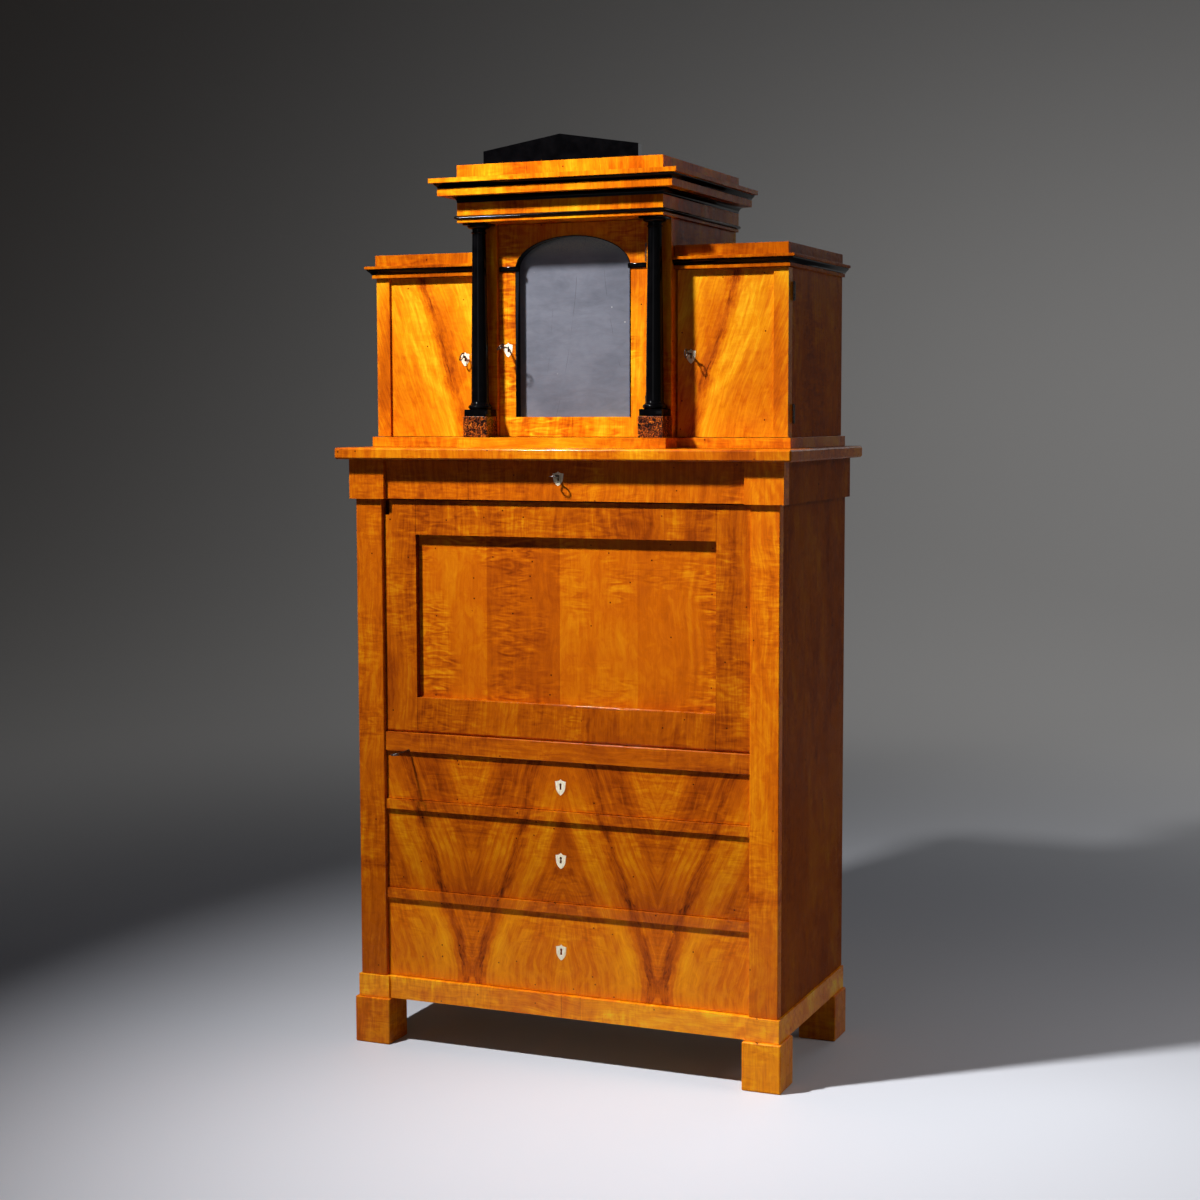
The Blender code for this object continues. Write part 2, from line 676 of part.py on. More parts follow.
def build_base_frame():
    inner_x = BASE_HALF_WIDTH - BASE_BLOCK_WIDTH
    low = FOOT_HEIGHT + CLEARANCE
    outline = [
        (-BASE_HALF_WIDTH, CASE_DEPTH), (-BASE_HALF_WIDTH, BASE_BLOCK_FRONT),
        (-inner_x, BASE_BLOCK_FRONT), (-inner_x, BASE_RAIL_FRONT), (inner_x, BASE_RAIL_FRONT),
        (inner_x, BASE_BLOCK_FRONT), (BASE_HALF_WIDTH, BASE_BLOCK_FRONT),
        (BASE_HALF_WIDTH, CASE_DEPTH),
    ]
    frame = carry(prism("base_frame", outline, "Z", low, BASE_TOP, honey()), "case")
    inside = BASE_HALF_WIDTH - BASE_RAIL_DEPTH
    hollow = block("base_frame_hollow",
                   (-inside, BASE_RAIL_FRONT + BASE_RAIL_DEPTH, low - CUT_OVERRUN),
                   (inside, CASE_DEPTH - BASE_RAIL_DEPTH, BASE_TOP + CUT_OVERRUN), None)
    cut(frame, hollow)


# Side panels with the frieze returns, pilasters with the frieze blocks
def build_sides():
    for side_name, side in SIDES:
        inner = CASE_HALF_WIDTH - PANEL_THICKNESS
        outline = [
            (inner, CASE_FOOT), (CASE_HALF_WIDTH, CASE_FOOT), (CASE_HALF_WIDTH, FRIEZE_FOOT),
            (FRIEZE_HALF_WIDTH, FRIEZE_FOOT), (FRIEZE_HALF_WIDTH, CASE_TOP), (inner, CASE_TOP),
        ]
        outline = [(mirrored(side, x), z) for x, z in outline]
        carry(prism(f"side_panel_{side_name}", outline, "Y", BEHIND_PILASTER, CASE_DEPTH, honey()),
              "case")

        low_x, high_x = span(side, OPENING_HALF, CASE_HALF_WIDTH)
        pilaster = block(f"pilaster_{side_name}", (low_x, 0, CASE_FOOT),
                         (high_x, PILASTER_THICKNESS, FRIEZE_FOOT + SEAT_OVERLAP), honey(), ARRIS)
        carry(pilaster, "case")
        block_inner = FRIEZE_HALF_WIDTH - FRIEZE_BLOCK_WIDTH
        low_x, high_x = span(side, block_inner, FRIEZE_HALF_WIDTH)
        frieze = block(f"frieze_block_{side_name}", (low_x, FRIEZE_BLOCK_FRONT, FRIEZE_FOOT),
                       (high_x, PILASTER_THICKNESS, CASE_TOP), honey())
        unite(pilaster, frieze)


def build_back():
    """The back: one framed board with four sunk fields."""
    back = block("back_lower", (-INNER_HALF, BACK_FRONT, CASE_FOOT),
                 (INNER_HALF, CASE_DEPTH, CASE_TOP), softwood())
    carry(back, "case")
    columns = 2
    rows = 2
    field_width = (2 * INNER_HALF - (columns + 1) * BACK_STILE) / columns
    field_height = (CASE_INNER_HEIGHT - (rows + 1) * BACK_STILE) / rows
    for column in range(columns):
        low_x = -INNER_HALF + BACK_STILE + column * (field_width + BACK_STILE)
        for row in range(rows):
            low_z = CASE_FOOT + BACK_STILE + row * (field_height + BACK_STILE)
            field = block(f"back_field_{column}_{row}",
                          (low_x, CASE_DEPTH - BACK_FIELD_DEPTH, low_z),
                          (low_x + field_width, CASE_DEPTH + CUT_OVERRUN, low_z + field_height), None)
            cut(back, field)


# Boards that the drawers run on: a dust board with two guide battens, and a rail in front
def guide_board(name, top, front, guide_inner, guide_height, surface):
    guide_outer = guide_inner + GUIDE_WIDTH
    foot = top - BOARD_THICKNESS
    outline = [
        (-INNER_HALF, foot), (INNER_HALF, foot), (INNER_HALF, top), (guide_outer, top),
        (guide_outer, top + guide_height), (guide_inner, top + guide_height), (guide_inner, top),
        (-guide_inner, top), (-guide_inner, top + guide_height), (-guide_outer, top + guide_height),
        (-guide_outer, top), (-INNER_HALF, top),
    ]
    return carry(prism(name, outline, "Y", front, BOARD_REAR, surface), "case")


def build_drawer_boards():
    guide_inner = OPENING_HALF - DRAWER_SIDE_GAP + DRAWER_GAP
    behind_front = DRAWER_FRONT + DRAWER_FRONT_THICKNESS + CLEARANCE
    guide_board("bottom_board", CASE_FOOT + BOARD_THICKNESS, behind_front, guide_inner,
                GUIDE_HEIGHT, softwood())
    for name, foot, top in (("drawer_rail_lower", RAIL_2_FOOT, RAIL_2_TOP),
                            ("drawer_rail_upper", RAIL_1_FOOT, RAIL_1_TOP)):
        board = guide_board(name, top, behind_front, guide_inner, GUIDE_HEIGHT, honey())
        rail = block(name + "_front", (-OPENING_HALF + CLEARANCE, RAIL_FRONT, foot),
                     (OPENING_HALF - CLEARANCE, RAIL_FRONT + RAIL_DEPTH, top), None)
        unite(board, rail)


def build_desk_floor():
    """Sill rail under the fall front; the bed behind it is rebated for pigeonholes and stays."""
    sill = block("sill_rail", (-OPENING_HALF + CLEARANCE, RAIL_FRONT, SILL_FOOT),
                 (OPENING_HALF - CLEARANCE, RAIL_FRONT + RAIL_DEPTH, SILL_TOP), honey())
    carry(sill, "case")
    bed = block("writing_bed", (-INNER_HALF, BED_FRONT, BED_TOP - BED_THICKNESS),
                (INNER_HALF, BOARD_REAR, BED_TOP), None)
    unite(sill, bed)
    before = BED_FRONT - CUT_OVERRUN
    behind = BOARD_REAR + CUT_OVERRUN
    beyond = INNER_HALF + CUT_OVERRUN
    seat = NEST_FRONT - CLEARANCE
    rebate = [(-beyond, before), (-NEST_HALF_WIDTH, before), (-NEST_HALF_WIDTH, seat),
              (NEST_HALF_WIDTH, seat), (NEST_HALF_WIDTH, before), (beyond, before),
              (beyond, behind), (-beyond, behind)]
    cut(sill, prism("nest_rebate", rebate, "Z", BED_TOP - BED_REBATE, BED_TOP + CUT_OVERRUN, None))
    slot_inner = stay_outer() - STAY_THICKNESS / 2 - LUG_THICKNESS / 2 - STAY_SLOT_GAP
    slot_outer = stay_outer() - STAY_THICKNESS / 2 + LUG_THICKNESS / 2 + STAY_SLOT_GAP
    near = STAY_RADIUS * math.cos(math.radians(STAY_END_DEG - LUG_HALF_DEG)) - LUG_WIDTH / 2
    far = STAY_RADIUS + LUG_WIDTH / 2
    for side_name, side in SIDES:
        low_x, high_x = span(side, slot_inner, slot_outer)
        slot = block(f"stay_slot_{side_name}",
                     (low_x, PIVOT_Y + near - STAY_SLOT_GAP, BED_TOP - BED_THICKNESS - CUT_OVERRUN),
                     (high_x, PIVOT_Y + far + STAY_SLOT_GAP, BED_TOP + CUT_OVERRUN), None)
        cut(sill, slot)
    pull_z = SILL_FOOT + PULL_RISE
    bore = rod("pull_bore", (PULL_X, RAIL_FRONT - CUT_OVERRUN, pull_z),
               (PULL_X, RAIL_FRONT + RAIL_DEPTH + CUT_OVERRUN, pull_z),
               PULL_RADIUS + PULL_BORE_GAP, 12, None)
    cut(sill, bore)


def build_desk_ceiling():
    box_half = frieze_drawer_half() - FRIEZE_BOX_INSET
    top = FRIEZE_FOOT + BOARD_THICKNESS
    guide_board("desk_ceiling", top, BEHIND_PILASTER, box_half + DRAWER_GAP, GUIDE_HEIGHT, honey())


def build_top():
    board = block("top_board", (-TOP_BOARD_HALF_WIDTH, TOP_BOARD_FRONT, TOP_BOARD_FOOT),
                  (TOP_BOARD_HALF_WIDTH, TOP_BOARD_REAR, TOP_BOARD_TOP), honey(), TOP_BOARD_ARRIS)
    carry(board, "case")
    outline = [
        (-STEP_HALF_WIDTH, STEP_REAR), (-STEP_HALF_WIDTH, STEP_FRONT), (-BREAK_HALF_WIDTH, STEP_FRONT),
        (-BREAK_HALF_WIDTH, BREAK_FRONT), (BREAK_HALF_WIDTH, BREAK_FRONT),
        (BREAK_HALF_WIDTH, STEP_FRONT), (STEP_HALF_WIDTH, STEP_FRONT), (STEP_HALF_WIDTH, STEP_REAR),
    ]
    carry(prism("stepped_plinth", outline, "Z", STEP_FOOT, STEP_TOP, honey()), "case")


# Long drawers: each front is joined to its box by half-blind dovetails
def tail_places(foot, top):
    """Middle heights of the tails, spread evenly over the drawer's side."""
    count = max(2, int((top - foot) / TAIL_PITCH))
    pitch = (top - foot) / count
    return [foot + pitch * (number + 1 / 2) for number in range(count)]


def tail_outline(middle, root, grow):
    """One tail seen from the side: wide at its front end, narrow at its root."""
    front = root - TAIL_LENGTH - grow
    back = root + (CUT_OVERRUN if grow else SEAT_OVERLAP)
    wide = TAIL_WIDE / 2 + grow
    narrow = TAIL_NARROW / 2 + grow
    return [(back, middle - narrow), (root, middle - narrow), (front, middle - wide),
            (front, middle + wide), (root, middle + narrow), (back, middle + narrow)]


def build_long_drawer(name, foot, top, shield_z):
    body = name
    front_rear = DRAWER_FRONT + DRAWER_FRONT_THICKNESS
    add_pivot(body, (0, DRAWER_FRONT, (foot + top) / 2), "case")
    front = block(name + "_front", (-DRAWER_HALF, DRAWER_FRONT, foot + DRAWER_GAP),
                  (DRAWER_HALF, front_rear, top - DRAWER_GAP), honey(), ARRIS / 2)
    carry(front, body)

    box_half = OPENING_HALF - DRAWER_SIDE_GAP - DRAWER_GAP
    box_foot = box_foot_of(foot)
    box_top = top - DRAWER_HEADROOM
    outline = [
        (-box_half, box_foot), (box_half, box_foot), (box_half, box_top),
        (box_half - DRAWER_SIDE, box_top), (box_half - DRAWER_SIDE, box_foot + DRAWER_BOTTOM),
        (-box_half + DRAWER_SIDE, box_foot + DRAWER_BOTTOM), (-box_half + DRAWER_SIDE, box_top),
        (-box_half, box_top),
    ]
    box = carry(prism(name + "_box", outline, "Y", front_rear + CLEARANCE, DRAWER_BOX_REAR,
                      softwood()), body)
    back = block(name + "_back", (-box_half + DRAWER_SIDE - SEAT_OVERLAP,
                                  DRAWER_BOX_REAR - DRAWER_SIDE, box_foot + DRAWER_BOTTOM / 2),
                 (box_half - DRAWER_SIDE + SEAT_OVERLAP, DRAWER_BOX_REAR - CLEARANCE,
                  box_top - CLEARANCE), None)
    unite(box, back)

    root = front_rear + CLEARANCE
    for side_name, side in SIDES:
        low_x, high_x = span(side, box_half - DRAWER_SIDE, box_half)
        cut_low_x, cut_high_x = span(side, box_half - DRAWER_SIDE - CLEARANCE,
                                     DRAWER_HALF + CUT_OVERRUN)
        for number, middle in enumerate(tail_places(box_foot, box_top)):
            tail = prism(f"{name}_tail_{side_name}_{number}", tail_outline(middle, root, 0), "X",
                         low_x, high_x, None)
            unite(box, tail)
            socket = prism(f"{name}_socket_{side_name}_{number}",
                           tail_outline(middle, root, CLEARANCE), "X", cut_low_x, cut_high_x, None)
            cut(front, socket)

    add_shield(name.replace("drawer", "shield"), front, body, (DRAWER_LOCK_X, shield_z),
               DRAWER_FRONT, SHIELD_WIDTH, SHIELD_HEIGHT)


def box_foot_of(foot):
    """The lowest drawer runs on the bottom board, which is thicker than its rail line."""
    board = BOARD_THICKNESS if foot == CASE_FOOT else 0
    return foot + board + CLEARANCE


def build_long_drawers():
    build_long_drawer("drawer_lower", CASE_FOOT, RAIL_2_FOOT, RAIL_2_FOOT - LONG_SHIELD_DROP)
    build_long_drawer("drawer_middle", RAIL_2_TOP, RAIL_1_FOOT, RAIL_1_FOOT - LONG_SHIELD_DROP)
    build_long_drawer("drawer_upper", RAIL_1_TOP, SILL_FOOT, SILL_FOOT - UPPER_SHIELD_DROP)


# Frieze drawer with its key
def frieze_drawer_half():
    return FRIEZE_HALF_WIDTH - FRIEZE_BLOCK_WIDTH - DRAWER_GAP


def build_frieze_drawer():
    body = "frieze_drawer"
    front_rear = FRIEZE_DRAWER_FRONT + DRAWER_FRONT_THICKNESS
    half = frieze_drawer_half()
    foot = FRIEZE_FOOT + DRAWER_GAP
    top = CASE_TOP - DRAWER_GAP
    add_pivot(body, (0, FRIEZE_DRAWER_FRONT, (foot + top) / 2), "case")
    drawer = block("frieze_drawer_front", (-half, FRIEZE_DRAWER_FRONT, foot),
                   (half, front_rear, top), honey(), ARRIS / 2)
    carry(drawer, body)

    box_half = half - FRIEZE_BOX_INSET
    box_foot = FRIEZE_FOOT + BOARD_THICKNESS + CLEARANCE
    box_top = CASE_TOP - DRAWER_HEADROOM
    box = block("frieze_drawer_box", (-box_half, front_rear - SEAT_OVERLAP, box_foot),
                (box_half, FRIEZE_BOX_REAR, box_top), None)
    unite(drawer, box)
    inside = block("frieze_drawer_inside",
                   (-box_half + DRAWER_SIDE, front_rear, box_foot + DRAWER_BOTTOM),
                   (box_half - DRAWER_SIDE, FRIEZE_BOX_REAR - DRAWER_SIDE, box_top + CUT_OVERRUN),
                   None)
    cut(drawer, inside)
    centre = (FRIEZE_LOCK_X, (FRIEZE_FOOT + CASE_TOP) / 2 + FRIEZE_SHIELD_RISE)
    eye = add_shield("shield_frieze", drawer, body, centre, FRIEZE_DRAWER_FRONT,
                     SHIELD_WIDTH, SMALL_SHIELD_HEIGHT)
    add_mortise("frieze_mortise", drawer, eye, FRIEZE_DRAWER_FRONT + BORE_DEPTH, front_rear)
    add_key("key_frieze", "frieze_key", body, eye, FRIEZE_DRAWER_FRONT, FRIEZE_KEY_REACH,
            FRIEZE_BOW_DEG)


# Fall front: frame, panel and the two quadrant stays
NOSE_STEPS = 5
ARC_STEPS = 20


def stay_outer():
    return FLAP_HALF - STAY_INSET


def stay_start():
    """Angle above the level at which the quadrant meets its foot plate."""
    reach = FLAP_REAR + CLEARANCE + STAY_PLATE_THICKNESS / 2 - PIVOT_Y
    return math.acos(reach / STAY_RADIUS)


def build_flap():
    body = "fall_front"
    add_pivot(body, (0, PIVOT_Y, PIVOT_Z), "case")
    outline = [(FLAP_REAR, FLAP_FOOT), (FLAP_REAR, FLAP_TOP), (FLAP_FRONT, FLAP_TOP)]
    for step in range(NOSE_STEPS + 1):
        angle = math.pi + math.pi / 2 * step / NOSE_STEPS
        outline.append((PIVOT_Y + FLAP_NOSE * math.cos(angle), PIVOT_Z + FLAP_NOSE * math.sin(angle)))
    frame = carry(prism("flap_frame", outline, "X", -FLAP_HALF, FLAP_HALF, honey()), body)

    field_half = FLAP_HALF - FLAP_STILE
    field_foot = FLAP_FOOT + FLAP_BOTTOM_RAIL
    field_top = FLAP_TOP - FLAP_TOP_RAIL
    opening = block("flap_opening", (-field_half, FLAP_FRONT - CUT_OVERRUN, field_foot),
                    (field_half, FLAP_REAR + CUT_OVERRUN, field_top), None)
    cut(frame, opening)
    lap = FLAP_PANEL_LAP
    panel_front = FLAP_REAR - FLAP_PANEL_THICKNESS
    rebate = block("flap_rebate", (-field_half - lap, panel_front - CLEARANCE, field_foot - lap),
                   (field_half + lap, FLAP_REAR + CUT_OVERRUN, field_top + lap), None)
    cut(frame, rebate)
    notch = block("flap_notch", (-FLAP_HALF - CUT_OVERRUN, FLAP_FRONT - CUT_OVERRUN,
                                 FLAP_TOP - NOTCH_HEIGHT),
                  (-FLAP_HALF + NOTCH_WIDTH, FLAP_REAR + CUT_OVERRUN, FLAP_TOP + CUT_OVERRUN), None)
    cut(frame, notch)

    seat = lap - CLEARANCE
    panel = block("flap_panel", (-field_half - seat, panel_front, field_foot - seat),
                  (field_half + seat, FLAP_REAR, field_top + seat), honey())
    carry(panel, body)

    for side_name, side in SIDES:
        build_stay(side_name, side, body)


def stay_outline():
    """Quadrant seen from the side, as a ring sector about the hinge."""
    inner = STAY_RADIUS - STAY_WIDTH / 2
    outer = STAY_RADIUS + STAY_WIDTH / 2
    start = stay_start()
    end = math.radians(STAY_END_DEG)
    angles = [start + (end - start) * step / ARC_STEPS for step in range(ARC_STEPS + 1)]
    points = [(PIVOT_Y + outer * math.cos(a), PIVOT_Z + outer * math.sin(a)) for a in angles]
    points += [(PIVOT_Y + inner * math.cos(a), PIVOT_Z + inner * math.sin(a)) for a in angles[::-1]]
    return points


def lug_outline():
    middle = STAY_END_DEG + LUG_HALF_DEG
    inner = STAY_RADIUS - LUG_WIDTH / 2
    outer = STAY_RADIUS + LUG_WIDTH / 2
    points = []
    for radius, turn in ((inner, -1), (outer, -1), (outer, 1), (inner, 1)):
        angle = math.radians(middle + turn * LUG_HALF_DEG)
        points.append((PIVOT_Y + radius * math.cos(angle), PIVOT_Z + radius * math.sin(angle)))
    return points


def build_stay(side_name, side, body):
    outer = stay_outer()
    low_x, high_x = span(side, outer - STAY_THICKNESS, outer)
    stay = carry(prism(f"stay_{side_name}", stay_outline(), "X", low_x, high_x, brass()), body)
    middle = outer - STAY_THICKNESS / 2
    low_x, high_x = span(side, middle - LUG_THICKNESS / 2, middle + LUG_THICKNESS / 2)
    unite(stay, prism(f"stay_lug_{side_name}", lug_outline(), "X", low_x, high_x, None))
    low_x, high_x = span(side, outer - STAY_PLATE_WIDTH, outer - CLEARANCE)
    plate_middle = PIVOT_Z + STAY_RADIUS * math.sin(stay_start())
    plate = block(f"stay_plate_{side_name}",
                  (low_x, FLAP_REAR + CLEARANCE, plate_middle - STAY_PLATE_HEIGHT / 2),
                  (high_x, FLAP_REAR + CLEARANCE + STAY_PLATE_THICKNESS,
                   plate_middle + STAY_PLATE_HEIGHT / 2), None)
    unite(stay, plate)


# Desk interior: linings, pigeonholes and an arched niche over one drawer
NICHE_STEPS = 14


def build_desk_interior():
    foot = NEST_FOOT
    top = FRIEZE_FOOT - CLEARANCE
    lining_inner = OPENING_HALF + LINING_GAP
    lining_outer = lining_inner + LINING_THICKNESS
    back = NEST_REAR
    outline = [
        (-lining_outer, BED_FRONT), (-lining_inner, BED_FRONT), (-lining_inner, back),
        (lining_inner, back), (lining_inner, BED_FRONT), (lining_outer, BED_FRONT),
        (lining_outer, BOARD_REAR), (-lining_outer, BOARD_REAR),
    ]
    nest = carry(prism("desk_interior", outline, "Z", foot, top, honey()), "case")
    unite(nest, block("nest_block", (-NEST_HALF_WIDTH, NEST_FRONT, foot + CLEARANCE),
                      (NEST_HALF_WIDTH, back + SEAT_OVERLAP, top - CLEARANCE), None))

    niche_foot = foot + NEST_BOARD + INNER_DRAWER_HEIGHT + NEST_BOARD
    drawer_hole = block("nest_drawer_hole", (-NICHE_HALF_WIDTH, NEST_FRONT - CUT_OVERRUN,
                                             foot + NEST_BOARD),
                        (NICHE_HALF_WIDTH, back, foot + NEST_BOARD + INNER_DRAWER_HEIGHT), None)
    cut(nest, drawer_hole)
    niche = block("nest_niche", (-NICHE_HALF_WIDTH, NEST_FRONT + ARCH_PLATE, niche_foot),
                  (NICHE_HALF_WIDTH, back, top - NEST_BOARD), None)
    cut(nest, niche)
    cut(nest, prism("nest_arch", niche_outline(niche_foot, top - 2 * NEST_BOARD), "Y",
                    NEST_FRONT - CUT_OVERRUN, NEST_FRONT + ARCH_PLATE + CUT_OVERRUN, None))

    bay_inner = NICHE_HALF_WIDTH + NEST_BOARD
    bay_outer = NEST_HALF_WIDTH - NEST_BOARD
    bays = SIDE_SHELF_COUNT + 1
    bay_height = (top - foot - (bays + 1) * NEST_BOARD) / bays
    for side_name, side in SIDES:
        low_x, high_x = span(side, bay_inner, bay_outer)
        for number in range(bays):
            low_z = foot + NEST_BOARD + number * (bay_height + NEST_BOARD)
            hole = block(f"nest_bay_{side_name}_{number}", (low_x, NEST_FRONT - CUT_OVERRUN, low_z),
                         (high_x, back, low_z + bay_height), None)
            cut(nest, hole)
        unite(nest, stay_stop(side_name, side, lining_inner))


def niche_outline(foot, crown):
    """Front opening of the niche: straight sides under half an ellipse."""
    half = NICHE_HALF_WIDTH - NEST_BOARD
    spring = crown - NICHE_RISE
    outline = [(-half, foot), (half, foot)]
    for step in range(NICHE_STEPS + 1):
        angle = math.pi * step / NICHE_STEPS
        outline.append((half * math.cos(angle), spring + NICHE_RISE * math.sin(angle)))
    return outline


def stay_stop(side_name, side, lining_inner):
    """The block on the lining that the stay's lug meets when the fall front is level."""
    lug_front = math.radians(90 + STAY_END_DEG + 2 * LUG_HALF_DEG)
    reach = PIVOT_Y + (STAY_RADIUS - LUG_WIDTH / 2) * math.cos(lug_front)
    height = PIVOT_Z + STAY_RADIUS * math.sin(lug_front)
    low_x, high_x = span(side, stay_outer() + STAY_SLOT_GAP, lining_inner + SEAT_OVERLAP)
    rear = reach - CLEARANCE
    return block(f"stay_stop_{side_name}", (low_x, rear - STOP_DEPTH, height - STOP_HEIGHT / 2),
                 (high_x, rear, height + STOP_HEIGHT / 2), None)


def build_inner_drawer():
    body = "desk_drawer"
    foot = NEST_FOOT + NEST_BOARD
    half = NICHE_HALF_WIDTH - INNER_DRAWER_GAP
    low_z = foot + CLEARANCE
    high_z = foot + INNER_DRAWER_HEIGHT - INNER_DRAWER_GAP
    rear = NEST_REAR - INNER_DRAWER_REAR_GAP
    add_pivot(body, (0, NEST_FRONT, (low_z + high_z) / 2), "case")
    drawer = block("desk_drawer_box", (-half, NEST_FRONT, low_z), (half, rear, high_z), honey(),
                   ARRIS / 2)
    carry(drawer, body)
    wall = INNER_DRAWER_WALL
    inside = block("desk_drawer_inside", (-half + wall, NEST_FRONT + 2 * wall, low_z + wall),
                   (half - wall, rear - wall, high_z + CUT_OVERRUN), None)
    cut(drawer, inside)
    grip = rod("desk_drawer_grip", (0, NEST_FRONT - CUT_OVERRUN, high_z),
               (0, NEST_FRONT + 2 * wall + CUT_OVERRUN, high_z), GRIP_RADIUS, 24, None)
    cut(drawer, grip)


# Iron pull through the sill rail
def build_pull():
    body = "iron_pull"
    pull_z = SILL_FOOT + PULL_RISE
    add_pivot(body, (PULL_X, RAIL_FRONT, pull_z), "case")
    ring_y = -PULL_REACH + PULL_RING_RADIUS + PULL_RING_WIDTH / 2
    ring_rear = ring_y + PULL_RING_RADIUS
    collar_y = RAIL_FRONT + RAIL_DEPTH + PULL_TRAVEL + SEAT_OVERLAP
    bar = rod("iron_pull_rod", (PULL_X, ring_rear, pull_z), (PULL_X, collar_y + CLEARANCE, pull_z),
              PULL_RADIUS, 12, iron())
    carry(bar, body)
    half_width = PULL_RING_WIDTH / 2
    half_height = PULL_RING_THICKNESS / 2
    outer = PULL_RING_RADIUS + half_width
    inner = PULL_RING_RADIUS - half_width
    loop = turned("iron_pull_ring",
                  [(inner, pull_z - half_height), (outer, pull_z - half_height),
                   (outer, pull_z + half_height), (inner, pull_z + half_height),
                   (inner, pull_z - half_height)], (PULL_X, ring_y), 20, None)
    unite(bar, loop)
    collar = rod("iron_pull_collar", (PULL_X, collar_y, pull_z),
                 (PULL_X, collar_y + PULL_COLLAR_LENGTH, pull_z), PULL_COLLAR_RADIUS, 12, None)
    unite(bar, collar)


# Side cupboards
def build_cupboards():
    inner = TAB_HALF_WIDTH + CUPBOARD_SIDE_GAP
    for side_name, side in SIDES:
        build_cupboard_case(side_name, side, inner)
        build_cupboard_door(side_name, side)


def build_cupboard_case(side_name, side, inner):
    wall = CUPBOARD_WALL
    low_x, high_x = span(side, inner, CUPBOARD_HALF_SPREAD)
    case = block(f"cupboard_{side_name}_case", (low_x, CUPBOARD_DOOR_REAR + CLEARANCE, UPPER_FOOT),
                 (high_x, STEP_REAR, CUPBOARD_TOP + SEAT_OVERLAP), honey())
    carry(case, "case")

    def extent(out):
        return (*span(side, inner, ATTIC_HALF_SPREAD + out), ATTIC_FRONT - out)

    low_top = CUPBOARD_TOP + LOW_FILLET_HEIGHT
    ogee_top = low_top + OGEE_HEIGHT
    fillet_top = ogee_top + TOP_FILLET_HEIGHT
    tiers = (
        (-CORE_IN, CUPBOARD_TOP + CLEARANCE, fillet_top),
        (LOW_FILLET_OUT, CUPBOARD_TOP, low_top),
        (TOP_FILLET_OUT, ogee_top, fillet_top),
        (0, fillet_top - SEAT_OVERLAP, fillet_top + ATTIC_HEIGHT),
    )
    add_tiers(case, f"cupboard_{side_name}_tier", tiers, extent)
    low_x, high_x = span(side, inner + wall, CUPBOARD_HALF_SPREAD - wall)
    hollow = block(f"cupboard_{side_name}_hollow",
                   (low_x, CUPBOARD_DOOR_REAR - CUT_OVERRUN, UPPER_FOOT + wall),
                   (high_x, STEP_REAR - BACK_THICKNESS, CUPBOARD_TOP - wall), None)
    cut(case, hollow)

    profile = cyma_profile(-CORE_IN + CLEARANCE, OGEE_FOOT_OUT, OGEE_HEAD_OUT,
                           low_top + CLEARANCE, ogee_top - CLEARANCE)
    stations = [
        lambda out: (mirrored(side, inner), ATTIC_FRONT - out),
        lambda out: (mirrored(side, ATTIC_HALF_SPREAD + out), ATTIC_FRONT - out),
        lambda out: (mirrored(side, ATTIC_HALF_SPREAD + out), STEP_REAR),
    ]
    carry(swept(f"cupboard_{side_name}_ogee", profile, stations, ebonised()), "case")


CURVE_STEPS = 6


def cyma_profile(back, foot_out, head_out, foot, head):
    """A double curve from foot to head, closed by a flat back."""
    profile = [(back, foot)]
    for step in range(CURVE_STEPS + 1):
        share = step / CURVE_STEPS
        ease = (1 - math.cos(math.pi * share)) / 2
        profile.append((foot_out + (head_out - foot_out) * ease, foot + (head - foot) * share))
    profile.append((back, head))
    return profile


def cove_profile(back, foot_out, head_out, foot, head):
    """A hollow quarter curve that flares towards its head."""
    profile = [(back, foot)]
    for step in range(CURVE_STEPS + 1):
        angle = math.pi / 2 * step / CURVE_STEPS
        profile.append((foot_out + (head_out - foot_out) * (1 - math.cos(angle)),
                        foot + (head - foot) * math.sin(angle)))
    profile.append((back, head))
    return profile


def bead_profile(back, out, foot, head):
    """A half-round bead."""
    profile = [(back, foot)]
    half = (head - foot) / 2
    for step in range(CURVE_STEPS + 1):
        angle = math.pi * step / CURVE_STEPS
        profile.append((out * math.sin(angle), foot + half * (1 - math.cos(angle))))
    profile.append((back, head))
    return profile


